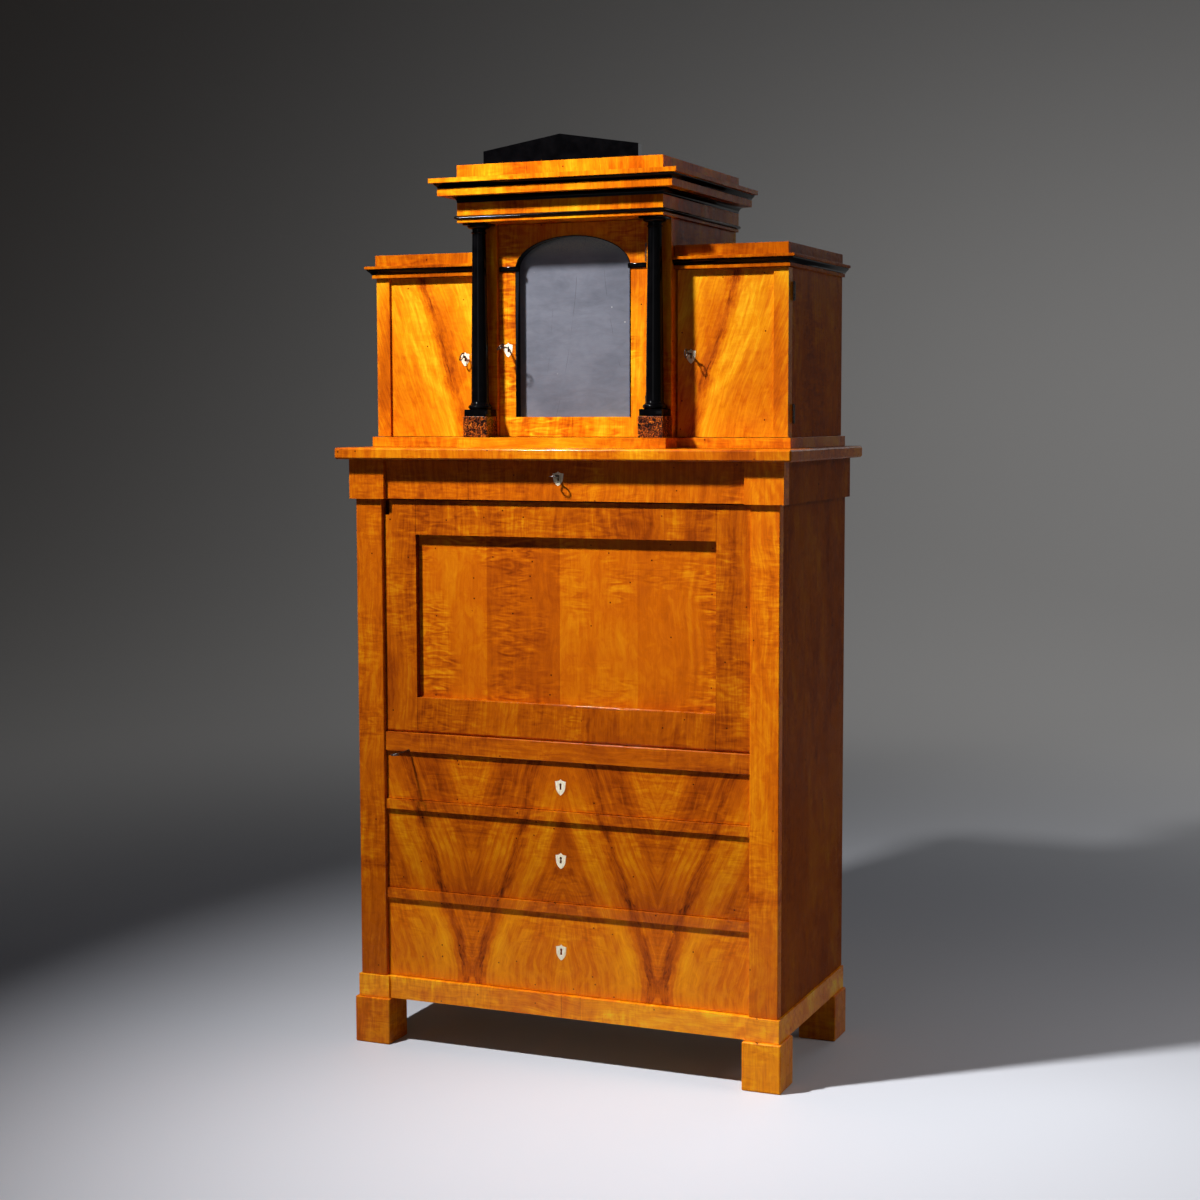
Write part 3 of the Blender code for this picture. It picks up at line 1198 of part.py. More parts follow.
def build_cupboard_door(side_name, side):
    body = f"cupboard_{side_name}_door"
    gap = CUPBOARD_DOOR_GAP
    foot = UPPER_FOOT + gap
    top = CUPBOARD_TOP - gap
    inner = TAB_HALF_WIDTH + CUPBOARD_INNER_GAP
    outer = CUPBOARD_HALF_SPREAD
    hinge_x = outer + CLEARANCE + KNUCKLE_RADIUS
    hinge_y = CUPBOARD_DOOR_REAR + CLEARANCE
    add_pivot(body, (mirrored(side, hinge_x), hinge_y, foot), "case")
    strip_front = CUPBOARD_DOOR_FRONT - STRIP_PROUD
    strip_inner = outer - STRIP_WIDTH
    outline = [
        (inner, CUPBOARD_DOOR_FRONT), (strip_inner, CUPBOARD_DOOR_FRONT), (strip_inner, strip_front),
        (outer, strip_front), (outer, CUPBOARD_DOOR_REAR), (inner, CUPBOARD_DOOR_REAR),
    ]
    outline = [(mirrored(side, x), y) for x, y in outline]
    door = carry(prism(f"cupboard_{side_name}_door_leaf", outline, "Z", foot, top, honey()), body)

    for end, low in (("low", foot + KNUCKLE_INSET), ("high", top - KNUCKLE_INSET - KNUCKLE_LENGTH)):
        x = mirrored(side, hinge_x)
        knuckle = rod(f"cupboard_{side_name}_knuckle_{end}", (x, hinge_y, low),
                      (x, hinge_y, low + KNUCKLE_LENGTH), KNUCKLE_RADIUS, 12, None)
        leaf_low, leaf_high = span(side, outer - LEAF_THICKNESS, hinge_x)
        leaf = block(f"cupboard_{side_name}_plate_{end}",
                     (leaf_low, CUPBOARD_DOOR_REAR - LEAF_THICKNESS, low + CLEARANCE),
                     (leaf_high, CUPBOARD_DOOR_REAR - CLEARANCE, low + KNUCKLE_LENGTH - CLEARANCE),
                     None)
        unite(door, leaf)
        unite(door, knuckle)

    centre = (mirrored(side, inner + CUPBOARD_LOCK_INSET), (foot + top) / 2 - CUPBOARD_LOCK_DROP)
    eye = add_shield(f"shield_cupboard_{side_name}", door, body, centre, CUPBOARD_DOOR_FRONT,
                     SMALL_SHIELD_WIDTH, SMALL_SHIELD_HEIGHT)
    add_mortise(f"cupboard_{side_name}_mortise", door, eye, CUPBOARD_DOOR_FRONT + BORE_DEPTH,
                CUPBOARD_DOOR_REAR)
    add_key(f"key_cupboard_{side_name}", f"cupboard_{side_name}_key", body, eye, CUPBOARD_DOOR_FRONT,
            RIGHT_KEY_REACH if side > 0 else LEFT_KEY_REACH,
            RIGHT_BOW_DEG if side > 0 else LEFT_BOW_DEG)


# Tabernacle case with its entablature, and the ebonised mouldings around it
def ent_extent(out):
    return -ENT_HALF_WIDTH - out, ENT_HALF_WIDTH + out, ENT_FRONT - out


def ent_stations():
    return [
        lambda out: (-ENT_HALF_WIDTH - out, STEP_REAR),
        lambda out: (-ENT_HALF_WIDTH - out, ENT_FRONT - out),
        lambda out: (ENT_HALF_WIDTH + out, ENT_FRONT - out),
        lambda out: (ENT_HALF_WIDTH + out, STEP_REAR),
    ]


def build_tabernacle():
    wall = TAB_WALL
    door_rear = MIRROR_DOOR_FRONT + MIRROR_DOOR_THICKNESS
    case = block("tabernacle_case", (-TAB_HALF_WIDTH, TAB_FRONT, UPPER_FOOT),
                 (TAB_HALF_WIDTH, STEP_REAR, TAB_TOP + SEAT_OVERLAP), honey())
    carry(case, "case")

    architrave_top = TAB_TOP + ARCHITRAVE_HEIGHT
    bead_top = architrave_top + BEAD_HEIGHT
    frieze_top = bead_top + UPPER_FRIEZE_HEIGHT
    cove_top = frieze_top + COVE_HEIGHT
    corona_top = cove_top + CORONA_HEIGHT
    cyma_top = corona_top + CYMA_HEIGHT
    crown_top = cyma_top + CROWN_FILLET_HEIGHT
    core = -CORE_IN
    tiers = (
        (core, TAB_TOP + CLEARANCE, cove_top + SEAT_OVERLAP),
        (0, TAB_TOP, architrave_top),
        (0, bead_top, frieze_top),
        (CORONA_OUT, cove_top, corona_top),
        (CYMA_SEAT, corona_top - SEAT_OVERLAP, cyma_top + SEAT_OVERLAP),
        (CROWN_FILLET_OUT, cyma_top, crown_top),
        (0, crown_top - SEAT_OVERLAP, crown_top + CROWN_ATTIC_HEIGHT),
    )
    add_tiers(case, "entablature", tiers, ent_extent)

    hollow = block("tabernacle_hollow",
                   (-TAB_HALF_WIDTH + wall, door_rear + MIRROR_DOOR_GAP, UPPER_FOOT + wall),
                   (TAB_HALF_WIDTH - wall, STEP_REAR - BACK_THICKNESS, TAB_TOP - wall), None)
    cut(case, hollow)
    opening_half = TAB_HALF_WIDTH - TAB_STILE
    opening = block("tabernacle_opening", (-opening_half, TAB_FRONT - CUT_OVERRUN,
                                           UPPER_FOOT - CUT_OVERRUN),
                    (opening_half, door_rear + MIRROR_DOOR_GAP + CUT_OVERRUN, TAB_TOP - CLEARANCE),
                    None)
    cut(case, opening)

    bead = bead_profile(core + CLEARANCE, BEAD_OUT, architrave_top + CLEARANCE, bead_top - CLEARANCE)
    carry(swept("entablature_bead", bead, ent_stations(), ebonised()), "case")
    cove = cove_profile(core + CLEARANCE, 0, COVE_OUT, frieze_top + CLEARANCE, cove_top - CLEARANCE)
    carry(swept("entablature_cove", cove, ent_stations(), ebonised()), "case")
    cyma = cyma_profile(CYMA_SEAT + CLEARANCE, CYMA_FOOT_OUT, CYMA_HEAD_OUT,
                        corona_top + CLEARANCE, cyma_top - CLEARANCE)
    carry(swept("entablature_cyma", cyma, ent_stations(), ebonised()), "case")

    foot = crown_top + CROWN_ATTIC_HEIGHT + CLEARANCE
    half = PEDIMENT_HALF_WIDTH
    outline = [(-half, foot), (half, foot), (half, foot + PEDIMENT_EDGE_HEIGHT),
               (0, foot + PEDIMENT_HEIGHT), (-half, foot + PEDIMENT_EDGE_HEIGHT)]
    front = ENT_FRONT + PEDIMENT_SET_BACK
    carry(prism("pediment", outline, "Y", front, front + PEDIMENT_THICKNESS, ebonised()), "case")


# Mirror door
ARCH_STEPS = 24


def arch_line(half, foot, spring, rise):
    """Right foot, up and over the arch, down to the left foot."""
    line = [(half, foot)]
    for step in range(ARCH_STEPS + 1):
        angle = math.pi * step / ARCH_STEPS
        line.append((half * math.cos(angle), spring + rise * math.sin(angle)))
    line.append((-half, foot))
    return line


def build_mirror_door():
    body = "mirror_door"
    opening_half = TAB_HALF_WIDTH - TAB_STILE
    half = opening_half - MIRROR_DOOR_GAP
    foot = UPPER_FOOT + CUPBOARD_DOOR_GAP
    top = TAB_TOP - MIRROR_DOOR_GAP
    rear = MIRROR_DOOR_FRONT + MIRROR_DOOR_THICKNESS
    hinge_x = opening_half - CLEARANCE - MIRROR_KNUCKLE_RADIUS
    hinge_y = MIRROR_DOOR_FRONT - IMPOST_PROUD
    add_pivot(body, (hinge_x, hinge_y, foot), "case")
    frame = block("mirror_door_frame", (-half, MIRROR_DOOR_FRONT, foot), (half, rear, top), honey(),
                  ARRIS / 2)
    carry(frame, body)
    rail_top = foot + MIRROR_BOTTOM_RAIL
    spring = foot + MIRROR_SPRING
    opening = prism("mirror_opening", arch_line(MIRROR_HALF_WIDTH, rail_top, spring, MIRROR_RISE),
                    "Y", MIRROR_DOOR_FRONT - CUT_OVERRUN, rear + CUT_OVERRUN, None)
    cut(frame, opening)
    glass_front = MIRROR_DOOR_FRONT + GLASS_SET_BACK
    lap_half = MIRROR_HALF_WIDTH + GLASS_LAP
    rebate = block("mirror_rebate", (-lap_half, glass_front - CLEARANCE, rail_top - GLASS_LAP),
                   (lap_half, rear + CUT_OVERRUN, spring + MIRROR_RISE + GLASS_LAP), None)
    cut(frame, rebate)
    glass = block("mirror_glass", (-lap_half + CLEARANCE, glass_front,
                                   rail_top - GLASS_LAP + CLEARANCE),
                  (lap_half - CLEARANCE, glass_front + GLASS_THICKNESS,
                   spring + MIRROR_RISE + GLASS_LAP - CLEARANCE), silvered())
    carry(glass, body)
    build_mirror_edge(body, half, rail_top, spring, glass_front)

    for end, low in (("low", foot + MIRROR_KNUCKLE_INSET),
                     ("high", top - MIRROR_KNUCKLE_INSET - MIRROR_KNUCKLE_LENGTH)):
        high = low + MIRROR_KNUCKLE_LENGTH
        unite(frame, block(f"mirror_plate_{end}",
                           (hinge_x - LEAF_THICKNESS / 2, hinge_y, low + CLEARANCE),
                           (hinge_x + LEAF_THICKNESS / 2, MIRROR_DOOR_FRONT + SEAT_OVERLAP,
                            high - CLEARANCE), None))
        unite(frame, rod(f"mirror_knuckle_{end}", (hinge_x, hinge_y, low), (hinge_x, hinge_y, high),
                         MIRROR_KNUCKLE_RADIUS, 12, None))

    centre = (-half + MIRROR_LOCK_INSET, (foot + top) / 2 - MIRROR_LOCK_DROP)
    eye = add_shield("shield_mirror_door", frame, body, centre, MIRROR_DOOR_FRONT,
                     SMALL_SHIELD_WIDTH, SMALL_SHIELD_HEIGHT)
    add_mortise("mirror_mortise", frame, eye, MIRROR_DOOR_FRONT + BORE_DEPTH, rear)
    add_key("key_mirror_door", "mirror_key", body, eye, MIRROR_DOOR_FRONT, MIRROR_KEY_REACH,
            MIRROR_BOW_DEG)


def build_mirror_edge(body, half, rail_top, spring, glass_front):
    """Ebonised lining of the arched opening with an impost across each stile."""
    outer = arch_line(MIRROR_HALF_WIDTH - CLEARANCE, rail_top + CLEARANCE, spring,
                      MIRROR_RISE - CLEARANCE)
    inner = arch_line(MIRROR_HALF_WIDTH - EDGE_THICKNESS, rail_top + CLEARANCE, spring,
                      MIRROR_RISE - EDGE_THICKNESS)
    edge = prism("mirror_edge", outer + inner[::-1], "Y", MIRROR_DOOR_FRONT - EDGE_PROUD,
                 glass_front - CLEARANCE, ebonised())
    carry(edge, body)
    impost_inner = MIRROR_HALF_WIDTH - EDGE_THICKNESS - IMPOST_TIP
    impost_front = MIRROR_DOOR_FRONT - IMPOST_PROUD
    for side_name, side in SIDES:
        low_x, high_x = span(side, impost_inner, half - IMPOST_END_GAP)
        impost = block(f"impost_{side_name}", (low_x, impost_front, spring - IMPOST_HEIGHT / 2),
                       (high_x, MIRROR_DOOR_FRONT - CLEARANCE, spring + IMPOST_HEIGHT / 2), None,
                       IMPOST_BEVEL)
        unite(edge, impost)


# Columns on their pedestals
def column_profile(foot, head):
    """Radii and heights of the turned part, from the plinth to the abacus."""
    torus_top = foot + TORUS_HEIGHT
    half = TORUS_HEIGHT / 2
    bulge = TORUS_RADIUS * TORUS_BULGE_SHARE
    profile = [(TORUS_RADIUS - bulge, foot)]
    for step in range(1, CURVE_STEPS):
        angle = math.pi * step / CURVE_STEPS
        profile.append((TORUS_RADIUS - bulge + bulge * math.sin(angle),
                        foot + half * (1 - math.cos(angle))))
    profile.append((BASE_FILLET_RADIUS, torus_top))
    fillet_top = torus_top + BASE_FILLET_HEIGHT
    profile.append((BASE_FILLET_RADIUS, fillet_top))
    profile.append((SHAFT_FOOT_RADIUS + CLEARANCE, fillet_top + FLARE_HEIGHT / 2))
    shaft_foot = fillet_top + FLARE_HEIGHT
    echinus_foot = head - ECHINUS_HEIGHT
    astragal_foot = echinus_foot - NECK_HEIGHT - ASTRAGAL_HEIGHT
    shaft = astragal_foot - shaft_foot
    for step in range(CURVE_STEPS):
        share = step / (CURVE_STEPS - 1)
        swell = CLEARANCE * math.sin(math.pi * share)
        radius = SHAFT_FOOT_RADIUS + (SHAFT_HEAD_RADIUS - SHAFT_FOOT_RADIUS) * share + swell
        profile.append((radius, shaft_foot + shaft * share))
    profile.append((ASTRAGAL_RADIUS, astragal_foot + ASTRAGAL_HEIGHT / 4))
    profile.append((ASTRAGAL_RADIUS, astragal_foot + ASTRAGAL_HEIGHT * 3 / 4))
    profile.append((SHAFT_HEAD_RADIUS, astragal_foot + ASTRAGAL_HEIGHT))
    profile.append((SHAFT_HEAD_RADIUS, echinus_foot))
    profile.append((ECHINUS_FOOT_RADIUS, echinus_foot + ECHINUS_HEIGHT / 6))
    profile.append((ECHINUS_FOOT_RADIUS, echinus_foot + ECHINUS_HEIGHT / 3))
    profile.append((ECHINUS_RADIUS - ECHINUS_TAPER, echinus_foot + ECHINUS_HEIGHT / 2))
    profile.append((ECHINUS_RADIUS, head))
    return profile


def build_columns():
    pedestal_top = UPPER_FOOT + PEDESTAL_HEIGHT
    plinth_foot = pedestal_top + CLEARANCE
    plinth_top = plinth_foot + PLINTH_HEIGHT
    abacus_top = TAB_TOP - CLEARANCE
    abacus_foot = abacus_top - ABACUS_HEIGHT
    for side_name, side in SIDES:
        x = mirrored(side, COLUMN_X)
        pedestal = block(f"pedestal_{side_name}", (x - PEDESTAL_HALF_WIDTH, PEDESTAL_FRONT, UPPER_FOOT),
                         (x + PEDESTAL_HALF_WIDTH, TAB_FRONT - CLEARANCE, pedestal_top), burl(),
                         ARRIS / 2)
        carry(pedestal, "case")
        profile = column_profile(plinth_top - CLEARANCE, abacus_foot + CLEARANCE)
        column = turned(f"column_{side_name}", profile, (x, COLUMN_Y), COLUMN_SIDES, ebonised())
        carry(column, "case")
        unite(column, block(f"plinth_{side_name}", (x - PLINTH_HALF, COLUMN_Y - PLINTH_HALF,
                                                    plinth_foot),
                            (x + PLINTH_HALF, COLUMN_Y + PLINTH_HALF, plinth_top), None))
        unite(column, block(f"abacus_{side_name}", (x - ABACUS_HALF, COLUMN_Y - ABACUS_HALF,
                                                    abacus_foot),
                            (x + ABACUS_HALF, COLUMN_Y + ABACUS_HALF, abacus_top), None))


build_feet()
build_base_frame()
build_sides()
build_back()
build_drawer_boards()
build_desk_floor()
build_desk_ceiling()
build_top()
build_long_drawers()
build_frieze_drawer()
build_flap()
build_desk_interior()
build_inner_drawer()
build_pull()
build_cupboards()
build_tabernacle()
build_mirror_door()
build_columns()
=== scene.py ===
import math

import bmesh
import bpy
from mathutils import Matrix, Vector


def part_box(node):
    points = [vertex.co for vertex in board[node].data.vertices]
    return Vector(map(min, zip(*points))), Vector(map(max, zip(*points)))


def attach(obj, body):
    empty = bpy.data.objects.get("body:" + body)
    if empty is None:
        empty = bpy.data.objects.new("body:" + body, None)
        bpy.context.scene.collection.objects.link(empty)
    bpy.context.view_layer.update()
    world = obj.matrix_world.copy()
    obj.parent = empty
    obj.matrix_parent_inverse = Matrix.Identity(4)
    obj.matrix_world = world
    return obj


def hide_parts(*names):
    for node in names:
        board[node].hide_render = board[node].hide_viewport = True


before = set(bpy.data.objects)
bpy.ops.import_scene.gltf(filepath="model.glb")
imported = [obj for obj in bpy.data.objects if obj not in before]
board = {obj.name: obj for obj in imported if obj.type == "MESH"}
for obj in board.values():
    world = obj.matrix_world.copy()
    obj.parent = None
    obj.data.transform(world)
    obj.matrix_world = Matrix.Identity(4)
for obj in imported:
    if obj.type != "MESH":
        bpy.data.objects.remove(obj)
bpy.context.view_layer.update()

# The studio
# A pale floor that sweeps up into a grey backdrop, a small strong lamp high on the left in
# front of the piece, weak broad ones further off, and the camera where the photograph was taken.
# The floor has painted shade towards its left; the backdrop has painted shade on the left and
# glows with painted light that grows to the right and fades upwards.
CAMERA_SPOT = (1.76904, -4.20670, 1.39401)
CAMERA_TURN = 22.754
CAMERA_TILT = 84.880
CAMERA_ROLL = -0.1376
CAMERA_LENS = 62.570
SENSOR_WIDTH = 36.0
FLOOR_REACH = 4.6
SWEEP_RADIUS = 3.4
WALL_TOP = 7.0
FLOOR_PALE = (0.66, 0.70, 0.79)
FLOOR_PAINTED_SHADE = (0.38, 0.40, 0.46)
FLOOR_DULL = (0.26, 0.27, 0.29)
WALL_PAINTED_SHADE = (0.145, 0.12, 0.105)
WALL_GREY = (0.60, 0.59, 0.58)
WALL_PAINTED_GLOW = (0.005, 0.125)
WALL_LIGHT = (1, 0.985, 0.97, 1)
WALL_BEGINS = (1.2, 6.0)
WALL_SPAN = (-7.0, 1.0)
WALL_FADE = (1.2, 5.0, 1.25, 0.35)
FLOOR_SPAN = (-2.2, 0.2)
SWEEP_STEPS = 12
SKY_LIGHT = (0.90, 0.94, 1.0, 1)
SKY_SEEN = (0.15, 0.148, 0.145, 1)
SKY_STRENGTH = 0.024

lens = bpy.data.cameras.new("studio_camera")
lens.lens = CAMERA_LENS
lens.sensor_width = SENSOR_WIDTH
lens.clip_end = 100
camera = bpy.data.objects.new("studio_camera", lens)
camera.matrix_world = (Matrix.Translation(CAMERA_SPOT)
                       @ Matrix.Rotation(math.radians(CAMERA_TURN), 4, "Z")
                       @ Matrix.Rotation(math.radians(CAMERA_TILT), 4, "X")
                       @ Matrix.Rotation(math.radians(CAMERA_ROLL), 4, "Z"))
bpy.context.scene.collection.objects.link(camera)
bpy.context.scene.camera = camera
bpy.context.scene.view_settings.view_transform = "Standard"


def lamp(name, spot, aim, size, watts, colour, spread=180, tall=0.0):
    light = bpy.data.lights.new(name, "AREA")
    light.shape = "RECTANGLE" if tall else "DISK"
    light.size = size
    if tall:
        light.size_y = tall
    light.energy = watts
    light.color = colour
    light.spread = math.radians(spread)
    stand = bpy.data.objects.new(name, light)
    stand.location = spot
    stand.rotation_euler = (Vector(aim) - Vector(spot)).to_track_quat("-Z", "Y").to_euler()
    stand.visible_camera = False
    bpy.context.scene.collection.objects.link(stand)


lamp("key_lamp", (-0.96, -1.45, 3.03), (1.0, -0.1, 0.1), 0.18, 36, (1, 0.97, 0.93), 84)
lamp("broad_lamp", (-4.2, -3.4, 3.0), (0, 0, 0.9), 2.4, 3.5, (1, 0.98, 0.96))
lamp("side_lamp", (3.0, 0.2, 2.4), (1.6, -0.1, 0), 1.4, 5.0, (1, 0.91, 0.84), 84)
lamp("strip_lamp", (-0.1, -5.0, 1.5), (0, 0, 0.9), 1.1, 2.8, (0.96, 0.98, 1), 120, tall=1.6)
lamp("back_lamp", (1.6, 4.4, 3.2), (0, 0, 1.0), 2.4, 16, (0.97, 0.98, 1))


def feed(socket, value, surface):
    """Wires a node's output into the socket, or writes a plain value there."""
    if isinstance(value, bpy.types.NodeSocket):
        surface.node_tree.links.new(value, socket)
    else:
        socket.default_value = value


def node(surface, kind, **inputs):
    """Adds one shader node; its inputs are given by identifier, its settings by their own name."""
    made = surface.node_tree.nodes.new("ShaderNode" + kind)
    for key, value in inputs.items():
        if not hasattr(made, key):
            continue
        setattr(made, key, value)
    for key, value in inputs.items():
        if hasattr(made, key):
            continue
        plain = key.replace("_", " ")
        socket = next(s for s in made.inputs if s.identifier == key or s.name == plain)
        feed(socket, value, surface)
    return made


def fresh_surface(name):
    surface = bpy.data.materials.new(name)
    surface.use_nodes = True
    return surface, surface.node_tree.nodes["Principled BSDF"]


def shade_of(surface, kind, first, second=0.0, third=0.0):
    """One sum on two or three numbers."""
    return node(surface, "Math", operation=kind, Value=first, Value_001=second,
                Value_002=third).outputs[0]


def eased(surface, value, low, high, to_low=0.0, to_high=1.0):
    """Goes softly from one number to the other while the value goes from low to high."""
    return node(surface, "MapRange", interpolation_type="SMOOTHSTEP", Value=value, From_Min=low,
                From_Max=high, To_Min=to_low, To_Max=to_high).outputs[0]


def tinted(surface, share, first, second, kind="MIX"):
    """Lays the second colour over the first one."""
    return node(surface, "Mix", data_type="RGBA", blend_type=kind, Factor_Float=share,
                A_Color=first, B_Color=second).outputs[2]


floor_paint, floor_shader = fresh_surface("studio_floor")
floor_shader.inputs["Roughness"].default_value = 0.6
floor_at = node(floor_paint, "TexCoord").outputs["Object"]
floor_spot = node(floor_paint, "SeparateXYZ", Vector=floor_at).outputs
floor_away = node(floor_paint, "VectorMath", operation="LENGTH", Vector=floor_at).outputs["Value"]
seen = node(floor_paint, "LightPath").outputs
seen_share = shade_of(floor_paint, "MAXIMUM", seen["Is Glossy Ray"], seen["Is Transmission Ray"])
seen_share = shade_of(floor_paint, "MAXIMUM", seen["Is Camera Ray"], seen_share)
# Painted shade: the floor's colour darkens towards its left.
floor_side = eased(floor_paint, floor_spot["X"], *FLOOR_SPAN)
floor_tone = tinted(floor_paint, floor_side, (*FLOOR_PAINTED_SHADE, 1), (*FLOOR_PALE, 1))
floor_tone = tinted(floor_paint, seen_share, (*FLOOR_DULL, 1), floor_tone)
# Painted shade and light: the backdrop goes from dark on the left to pale grey on the right.
wall_side = eased(floor_paint, floor_spot["X"], *WALL_SPAN)
wall_tone = tinted(floor_paint, wall_side, (*WALL_PAINTED_SHADE, 1), (*WALL_GREY, 1))
wall_share = eased(floor_paint, floor_away, *WALL_BEGINS)
feed(floor_shader.inputs["Base Color"], tinted(floor_paint, wall_share, floor_tone, wall_tone),
     floor_paint)
# Painted light: the backdrop and the floor further off glow, more to the right and lower down.
wall_painted_glow = node(floor_paint, "MapRange", Value=wall_side, To_Min=WALL_PAINTED_GLOW[0],
                 To_Max=WALL_PAINTED_GLOW[1]).outputs[0]
wall_fade = eased(floor_paint, floor_spot["Z"], *WALL_FADE)
for share in (wall_fade, wall_share, seen_share):
    wall_painted_glow = shade_of(floor_paint, "MULTIPLY", wall_painted_glow, share)
feed(floor_shader.inputs["Emission Strength"], wall_painted_glow, floor_paint)
floor_shader.inputs["Emission Color"].default_value = WALL_LIGHT
sweep = bmesh.new()
profile = [(0, 0), (FLOOR_REACH, 0)]
for step in range(1, SWEEP_STEPS + 1):
    angle = math.pi / 2 * step / SWEEP_STEPS
    profile.append((FLOOR_REACH + SWEEP_RADIUS * math.sin(angle),
                    SWEEP_RADIUS * (1 - math.cos(angle))))
profile.append((FLOOR_REACH + SWEEP_RADIUS, WALL_TOP))
rim = [sweep.verts.new((out, 0, rise)) for out, rise in profile]
rim_edges = [sweep.edges.new(pair) for pair in zip(rim, rim[1:])]
bmesh.ops.spin(sweep, geom=rim + rim_edges, cent=(0, 0, 0), axis=(0, 0, 1), angle=math.tau,
               steps=96, use_merge=True)
bmesh.ops.remove_doubles(sweep, verts=sweep.verts, dist=0.0001)
floor_mesh = bpy.data.meshes.new("floor")
sweep.to_mesh(floor_mesh)
sweep.free()
floor_mesh.shade_smooth()
floor_mesh.materials.append(floor_paint)
floor = bpy.data.objects.new("floor", floor_mesh)
bpy.context.scene.collection.objects.link(floor)

sky = bpy.data.worlds.new("studio_sky")
bpy.context.scene.world = sky
sky.use_nodes = True
sky_glow = sky.node_tree.nodes["Background"]
sky_glow.inputs["Color"].default_value = SKY_LIGHT
sky_glow.inputs["Strength"].default_value = SKY_STRENGTH
sky_seen = sky.node_tree.nodes.new("ShaderNodeBackground")
sky_seen.inputs["Color"].default_value = SKY_SEEN
sky_ray = sky.node_tree.nodes.new("ShaderNodeLightPath")
sky_pick = sky.node_tree.nodes.new("ShaderNodeMixShader")
shiny = sky.node_tree.nodes.new("ShaderNodeMath")
clear = sky.node_tree.nodes.new("ShaderNodeMath")
shiny.operation = clear.operation = "MAXIMUM"
for plug, socket in ((sky_ray.outputs["Is Camera Ray"], shiny.inputs[0]),
                     (sky_ray.outputs["Is Glossy Ray"], shiny.inputs[1]),
                     (shiny.outputs[0], clear.inputs[0]),
                     (sky_ray.outputs["Is Transmission Ray"], clear.inputs[1]),
                     (clear.outputs[0], sky_pick.inputs[0]),
                     (sky_glow.outputs[0], sky_pick.inputs[1]),
                     (sky_seen.outputs[0], sky_pick.inputs[2]),
                     (sky_pick.outputs[0], sky.node_tree.nodes["World Output"].inputs["Surface"])):
    sky.node_tree.links.new(plug, socket)


# The feet
# Four solid blocks with eased arrises, covered with honey-coloured veneer whose grain runs upright,
# and polished with shellac. They are dowelled up under the base frame.
HONEY = ((0.0, (0.035, 0.005, 0.001)), (0.22, (0.160, 0.024, 0.001)), (0.42, (0.370, 0.062, 0.002)),
         (0.60, (0.600, 0.127, 0.002)), (0.80, (0.800, 0.275, 0.004)), (1.0, (0.930, 0.530, 0.016)))
UPRIGHT = "Z"
LEVEL = "X"
ARRIS = 0.0008
CORNER_GAP = 0.00002
MIDDLE_SHADE = 0.56


def stretched(surface, low, high, value, to_low=0.0, to_high=1.0):
    """Goes straight from one number to the other while the value goes from low to high."""
    return node(surface, "MapRange", Value=value, From_Min=low, From_Max=high, To_Min=to_low,
                To_Max=to_high).outputs[0]


def place(surface, spot=(0, 0, 0), scale=(1, 1, 1)):
    """The object's own coordinates in metres, moved and stretched."""
    own = node(surface, "TexCoord").outputs["Object"]
    return node(surface, "Mapping", Vector=own, Location=spot, Scale=scale).outputs[0]


def clouds(surface, coords, scale, detail=3.0, rough=0.5, bend=0.0):
    """Soft random patches between 0 and 1."""
    return node(surface, "TexNoise", Vector=coords, Scale=scale, Detail=detail, Roughness=rough,
                Distortion=bend).outputs["Fac"]


def dye(surface, value, stops):
    """Turns a value into a colour by a list of places and colours."""
    ramp = node(surface, "ValToRGB", Fac=value)
    band = ramp.color_ramp
    while len(band.elements) < len(stops):
        band.elements.new(0.5)
    for element, (spot, colour) in zip(band.elements, stops):
        element.position = spot
        element.color = (*colour, 1) if len(colour) == 3 else colour
    return ramp.outputs[0]


def along(surface, x, y, z):
    return node(surface, "CombineXYZ", X=x, Y=y, Z=z).outputs[0]


def flame(surface, fold, start, slope, foot):
    """Distance across a leaning figure that is mirrored at the middle and at the fold."""
    own = node(surface, "SeparateXYZ", Vector=node(surface, "TexCoord").outputs["Object"]).outputs
    side = shade_of(surface, "ABSOLUTE", own["X"])
    if fold:
        side = shade_of(surface, "ABSOLUTE", shade_of(surface, "SUBTRACT", side, fold))
    lean = shade_of(surface, "MULTIPLY", shade_of(surface, "SUBTRACT", own["Z"], start), slope)
    square = shade_of(surface, "MULTIPLY_ADD", lean, lean, foot * foot)
    return shade_of(surface, "SUBTRACT", side, shade_of(surface, "SQRT", square)), own


def blended(surface, value, other, amount):
    """Adds the other pattern, taken about its middle grey, to the value."""
    centred = shade_of(surface, "SUBTRACT", other, 0.5)
    return shade_of(surface, "MULTIPLY_ADD", centred, amount, value)


def within(surface, distance, reach, soft):
    """1 inside the reach, falling to 0 over the soft width."""
    return eased(surface, distance, reach, reach + soft, 1.0, 0.0)


